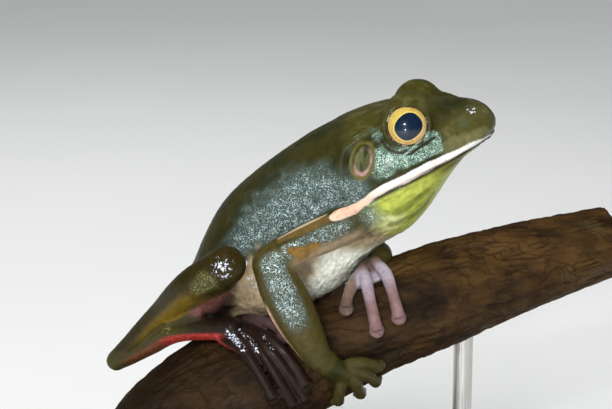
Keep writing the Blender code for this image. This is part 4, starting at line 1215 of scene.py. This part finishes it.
def eye_material(word, sign):
    """A gold iris with a wide, nearly round blue-black pupil, on an eyeball that looks along its own +Z.

    The sign is 1 where the eyeball's own +X runs forward and -1 where it runs back.
    """
    g = Graph(f"frog_eye_{word}")
    g.coords = g.node("Attribute", {"attribute_name": "own_place"}).outputs["Vector"]
    parts = g.node("SeparateXYZ", Vector=g.coords)
    x, y = parts.outputs["X"], parts.outputs["Y"]
    off_x, off_y = g.minus(x, PUPIL_AT[0] * sign), g.minus(y, PUPIL_AT[1])
    c, s = math.cos(PUPIL_TURN * sign), math.sin(PUPIL_TURN * sign)
    wide = g.plus(g.times(off_x, c), g.times(off_y, s))
    tall = g.minus(g.times(off_y, c), g.times(off_x, s))
    powers = [
        g.math("POWER", g.math("ABSOLUTE", g.math("DIVIDE", value, half)), 2.3)
        for value, half in zip((wide, tall), PUPIL_HALF)
    ]
    reach = g.math("POWER", g.plus(*powers), 1 / 2.3)
    rim = g.math("SQRT", g.plus(g.times(x, x), g.times(y, y)))
    angle = g.math("ARCTAN2", y, x)
    rays = g.node("CombineXYZ", X=g.times(angle, 9.0), Y=g.times(reach, 1.6)).outputs[0]
    streak = g.node("TexNoise", Scale=2.4, Detail=5.0, Roughness=0.65, Vector=rays).outputs["Fac"]
    gold = g.mix(g.spread(y, -0.0038, 0.0005), (0.52, 0.33, 0.13), (0.47, 0.35, 0.070))
    gold = g.mix(g.spread(streak, 0.45, 0.70, 0.0, 0.8), gold, (0.30, 0.15, 0.016))
    gold = g.mix(g.spread(streak, 0.48, 0.30, 0.0, 0.5), gold, (0.70, 0.56, 0.19))
    gold = g.mix(g.spread(reach, 1.10, 1.03, 0.0, 0.5), gold, (0.80, 0.60, 0.20))
    gold = g.mix(g.spread(rim, IRIS_RADIUS - 0.0002, IRIS_RADIUS, 0.0, 0.7), gold, (0.80, 0.50, 0.25))
    # A thin dark ring just outside the iris: painted shade in the gap under the lid
    gold = g.mix(g.spread(rim, IRIS_RADIUS, IRIS_RADIUS + 0.00006), gold, (0.030, 0.012, 0.005))
    deep = g.mix(g.flecks(300.0, 3.0, 0.35, 0.65), (0.0006, 0.005, 0.018), (0.001, 0.014, 0.038))
    g.colour = g.mix(g.spread(reach, 0.985, 1.02), deep, gold)
    bump = g.bump(g.times(streak, g.spread(reach, 1.0, 1.05)), 0.3, 0.0001)
    coat = {"Coat_Weight": 1.0, "Coat_Roughness": 0.02, "Coat_IOR": 1.36}
    return g.finish(Roughness=0.35, Normal=bump, Specular_IOR_Level=0.2, **coat)


def lid_material():
    g = Graph("frog_lid")
    # The pale flecks on the dark lid are painted glints
    g.colour = g.mix(g.flecks(420.0, 3.0, 0.50, 0.60, 0.8), (0.022, 0.015, 0.006), (0.30, 0.30, 0.20))
    return g.finish(Roughness=0.4, Specular_IOR_Level=0.3, Coat_Weight=0.3, Coat_Roughness=0.15)


def bark_material():
    g = Graph("perch_bark")
    grain = g.noise(140.0, 6.0, 0.62, g.stretched((0.35, 0.9, 1.0), BARK_TURN), 0.4)
    lumps = g.noise(60.0, 4.0)
    g.colour = g.mix(g.spread(grain, 0.35, 0.66), (0.010, 0.005, 0.0015), (0.056, 0.028, 0.008))
    g.lay(g.spread(lumps, 0.5, 0.72, 0.0, 0.6), (0.095, 0.050, 0.014))
    warped = g.warped(g.stretched((0.30, 1.0, 1.0), BARK_TURN), 160.0, 3.0, 0.006)
    gaps = g.cells(230.0, warped, "DISTANCE_TO_EDGE").outputs["Distance"]
    between = g.spread(gaps, 0.09, 0.0, 0.0, g.spread(lumps, 0.35, 0.65, 0.15, 0.6))
    g.lay(between, (0.006, 0.003, 0.001))
    g.lay(g.flecks(95.0, 5.0, 0.62, 0.74, 0.5), (0.060, 0.052, 0.018))
    # Painted shade: the bark darkens towards its rear end, as if that end lay in shadow
    rear = g.node("SeparateXYZ", Vector=g.coords).outputs["X"]
    g.lay(g.spread(rear, 0.018, -0.034, 0.0, 0.82), (0.007, 0.0035, 0.001))
    g.lay("crack", (0.006, 0.003, 0.002))
    # The sawn ends: rings of years round the middle, each a little wavy
    year = g.plus(g.attribute("year"), g.times(g.noise(70.0), 0.05))
    wave = g.math("SINE", g.times(year, 95.0))
    wood = g.mix(g.spread(wave, -0.6, 0.9), (0.36, 0.22, 0.11), (0.55, 0.38, 0.21))
    wood = g.mix(g.flecks(900.0, 3.0, 0.5, 0.7, 0.5), wood, (0.25, 0.14, 0.07))
    g.lay("cut", wood)
    plates = g.bump(between, 0.6, -0.0006)
    normal = g.bump(g.noise(1500.0, 6.0, 0.7), 0.6, 0.0003, g.bump(grain, 0.7, 0.0007, plates))
    roughness = g.spread(g.noise(90.0, 4.0), 0.35, 0.65, 0.42, 0.78)
    return g.finish(Roughness=roughness, Normal=normal, Specular_IOR_Level=0.14)


def stand_material():
    g = Graph("stand_wood")
    lines = g.noise(48.0, 6.0, 0.6, g.stretched((0.10, 1.0, 1.0)), 0.8)
    pores = g.noise(1100.0, 3.0, 0.6, g.stretched((0.06, 1.0, 1.0)))
    g.colour = g.mix(g.spread(lines, 0.36, 0.64), (0.030, 0.016, 0.009), (0.105, 0.058, 0.030))
    g.lay(g.spread(pores, 0.58, 0.72, 0.0, 0.7), (0.012, 0.007, 0.004))
    normal = g.bump(pores, 0.25, 0.0001)
    roughness = g.spread(lines, 0.3, 0.7, 0.30, 0.42)
    return g.finish(Roughness=roughness, Normal=normal, Coat_Weight=0.3, Coat_Roughness=0.2)


def rod_material():
    g = Graph("rod_steel")
    brushed = g.noise(2600.0, 3.0, 0.6, g.stretched((1.0, 1.0, 0.03)))
    g.colour = g.mix(g.spread(brushed, 0.3, 0.7), (0.42, 0.41, 0.40), (0.66, 0.65, 0.63))
    roughness = g.spread(brushed, 0.3, 0.7, 0.24, 0.42)
    return g.finish(Metallic=1.0, Roughness=roughness, Normal=g.bump(brushed, 0.15, 0.00005))


def floor_material():
    g = Graph("studio_floor")
    g.colour = g.mix(g.flecks(3.0, 3.0, 0.3, 0.7), (0.72, 0.73, 0.73), (0.76, 0.765, 0.76))
    return g.finish(Roughness=0.7)


# Pieces


def dress(obj, made):
    obj.data.materials.clear()
    obj.data.materials.append(made)
    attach(obj, "root")
    return obj


def make_eyes():
    rim = lid_material()
    for side, word in ((RIGHT, "right"), (LEFT, "left")):
        centre, axis = eye_place(side)
        bm = bmesh.new()
        bmesh.ops.create_uvsphere(bm, u_segments=96, v_segments=64, radius=EYE_RADIUS * MM)
        eye = object_from_bmesh(f"eyeball_{word}", bm)
        eye.data.shade_smooth()
        up = (head_direction(0, 0, 1) - axis * axis.dot(head_direction(0, 0, 1))).normalized()
        turn = Matrix((up.cross(axis), up, axis)).transposed().to_4x4()
        own = eye.data.attributes.new("own_place", "FLOAT_VECTOR", "POINT")
        own.data.foreach_set("vector", [v for vertex in eye.data.vertices for v in vertex.co])
        eye.data.transform(Matrix.Translation(place(centre)) @ turn)
        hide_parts(f"eye_{word}")
        dress(eye, eye_material(word, -side))
        at, reach = centre + axis * (EYE_RING + 0.02), EYE_RADIUS - 0.50
        lid = ring(f"lid_{word}", at, axis, reach, INNER_LID_THICKNESS, 96)
        lid.data.shade_smooth()
        dress(lid, rim)


# The rings of points across each sawn end, as shares of its radius
CUT_RINGS, CUT_DEPTH = (0.985, 0.93, 0.90, 0.78, 0.66, 0.54, 0.42, 0.30, 0.18, 0.06), 0.25


def bark_relief(angle, run):
    """The bark's relief at an angle round the perch and a distance along it, and its depth in a crack."""
    round_it = Vector((math.cos(angle), math.sin(angle), 0.0)) * 15.0
    long = Vector((round_it.x * 0.40, round_it.y * 0.40, run * 0.060))
    plate = abs(noise.noise(long + Vector((0, 0, 3.7))))
    broken = 0.55 + 0.9 * noise.noise(Vector((round_it.x * 0.12, round_it.y * 0.12, run * 0.11)))
    fissure = max(0.0, 1 - plate * 6.0) * min(max(broken, 0.0), 1.0)
    rough = noise.fractal(Vector((round_it.x * 0.6, round_it.y * 0.6, run * 0.30)), 0.8, 2.1, 5)
    sink = -0.80 * fissure**1.3 + 0.34 * rough - 0.20
    return min(sink, -0.03), min(1.0, 0.8 * fissure**1.2)


def bark_rows(path):
    """The bark's rings, of a point and its depth in a crack."""
    rows, run = [], 0.0
    for i, (row, points) in enumerate(zip(path, perch_rings(BARK_STEPS, BARK_SIDES))):
        run += (row.xyz - path[max(i - 1, 0)].xyz).length
        line = []
        for k, point in enumerate(points):
            sink, depth = bark_relief(math.tau * k / BARK_SIDES, run)
            line.append((point + (point - row.xyz).normalized() * sink, depth))
        rows.append(line)
    return rows


def make_bark():
    """The perch as rough bark with sawn ends."""
    path = smooth_path(PERCH_AXIS, BARK_STEPS)
    rows = bark_rows(path)
    bm = bmesh.new()
    layers = {name: bm.verts.layers.float.new(name) for name in ("crack", "cut", "year")}

    def add(point, **values):
        vertex = bm.verts.new(place(point))
        for name, value in values.items():
            vertex[layers[name]] = value
        return vertex

    grid = [[add(point, crack=depth) for point, depth in row] for row in rows]
    for end, inner in ((0, 1), (-1, -2)):
        along = (path[end].xyz - path[inner].xyz).normalized()
        cap = [grid[end]]
        for share in CUT_RINGS:
            line = []
            for point, _ in rows[end]:
                spot = path[end].xyz + (point - path[end].xyz) * share
                spot -= along * (CUT_DEPTH + 0.08 * noise.noise(spot * 1.3) if share < 0.95 else 0.05)
                line.append(add(spot, cut=float(share < 0.92), year=share))
            cap.append(line)
        middle = add(path[end].xyz - along * CUT_DEPTH, cut=1.0)
        skin_over(bm, cap)
        for a, b in zip(cap[-1], cap[-1][1:] + cap[-1][:1]):
            bm.faces.new((a, b, middle))
    skin_over(bm, grid)
    bark = object_from_bmesh("perch_bark", bm)
    bark.data.shade_smooth()
    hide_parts("perch_branch")
    dress(bark, bark_material())


def make_floor():
    bm = bmesh.new()
    bmesh.ops.create_grid(bm, x_segments=1, y_segments=1, size=4.0)
    floor = object_from_bmesh("studio_floor", bm)
    floor.data.materials.append(floor_material())
    floor.location.z = -0.0002


def area_light(name, at, target, size, power, tint=(1.0, 1.0, 1.0)):
    data = bpy.data.lights.new(name, "AREA")
    data.shape = "DISK" if size < 0.1 else "SQUARE"
    data.size = size
    data.energy = power
    data.color = tint
    light = new_object(name, data)
    light.location = at
    light.rotation_euler = (Vector(at) - Vector(target)).to_track_quat("Z", "Y").to_euler()
    return light


CAMERA_AZIMUTH, CAMERA_ELEVATION = math.radians(11.3), math.radians(14.0)
CAMERA_DISTANCE, CAMERA_LENS = 0.430, 100.0
CAMERA_TARGET = (0.0, -25.5, 0.0)


def make_camera():
    ca, sa = math.cos(CAMERA_AZIMUTH), math.sin(CAMERA_AZIMUTH)
    ce, se = math.cos(CAMERA_ELEVATION), math.sin(CAMERA_ELEVATION)
    back, right = Vector((sa * ce, -ca * ce, se)), Vector((ca, sa, 0.0))
    turn = Matrix((right, back.cross(right), back)).transposed().to_4x4()
    camera = new_object("camera", bpy.data.cameras.new("camera"))
    camera.data.lens = CAMERA_LENS
    camera.data.clip_start = 0.01
    at = place(CAMERA_TARGET) + back * CAMERA_DISTANCE
    camera.matrix_world = Matrix.Translation(at) @ turn
    bpy.context.scene.camera = camera
    return at, right


def make_lights(at, right):
    """Soft studio light: broad lights that leave no square in the eyes, a soft sky and two small flashes."""
    target = place((0, -10, -10))
    up = Vector((0, 0, 1))
    level = Vector((right.y, -right.x, 0.0))
    soft = (
        ("key", at + up * 0.36 - right * 0.14, 0.34, 3.3, (1.0, 0.985, 0.96)),
        ("fill", at + up * 0.24 + right * 0.48, 0.36, 1.35, (0.95, 0.98, 1.0)),
        ("behind", target - level * 0.50 + up * 0.55 - right * 0.20, 0.4, 2.0, (1.0, 0.99, 0.97)),
    )
    for name, spot, size, power, tint in soft:
        area_light(name, spot, target, size, power, tint).visible_glossy = False
    sky = bpy.data.lights.new("sky", "SUN")
    sky.energy, sky.angle = 1.25, 1.4
    overhead = new_object("sky", sky)
    overhead.location = target + up
    overhead.rotation_euler = (0.0, -0.15, 0.0)
    overhead.visible_glossy = False
    area_light("flash", at + up * 0.088 - right * 0.092, target, 0.030, 0.9)
    area_light("second_flash", at - up * 0.141 - right * 0.053, target, 0.026, 0.5)
    world = bpy.data.worlds.new("studio")
    world.use_nodes = True
    ground = world.node_tree.nodes["Background"]
    ground.inputs["Color"].default_value = (0.88, 0.92, 0.96, 1.0)
    ground.inputs["Strength"].default_value = 0.15
    bpy.context.scene.world = world
    bpy.context.scene.view_settings.view_transform = "Standard"


def main():
    skin = make_skin()
    dress_skin(skin)
    fleshy = ["head", "lower_jaw", "torso"]
    for word in ("right", "left"):
        names = ("eardrum", "upper_arm", "forearm", "hand", "thigh", "shank", "foot")
        fleshy.extend(f"{name}_{word}" for name in names)
    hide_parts(*fleshy)
    dress(skin, skin_material())
    make_eyes()
    make_bark()
    wood, steel = stand_material(), rod_material()
    for name, look in (("stand_base", wood), ("stand_rod_1", steel), ("stand_rod_2", steel)):
        for slot in frame["nodes"][name].material_slots:
            slot.material = look
    make_floor()
    make_lights(*make_camera())


main()
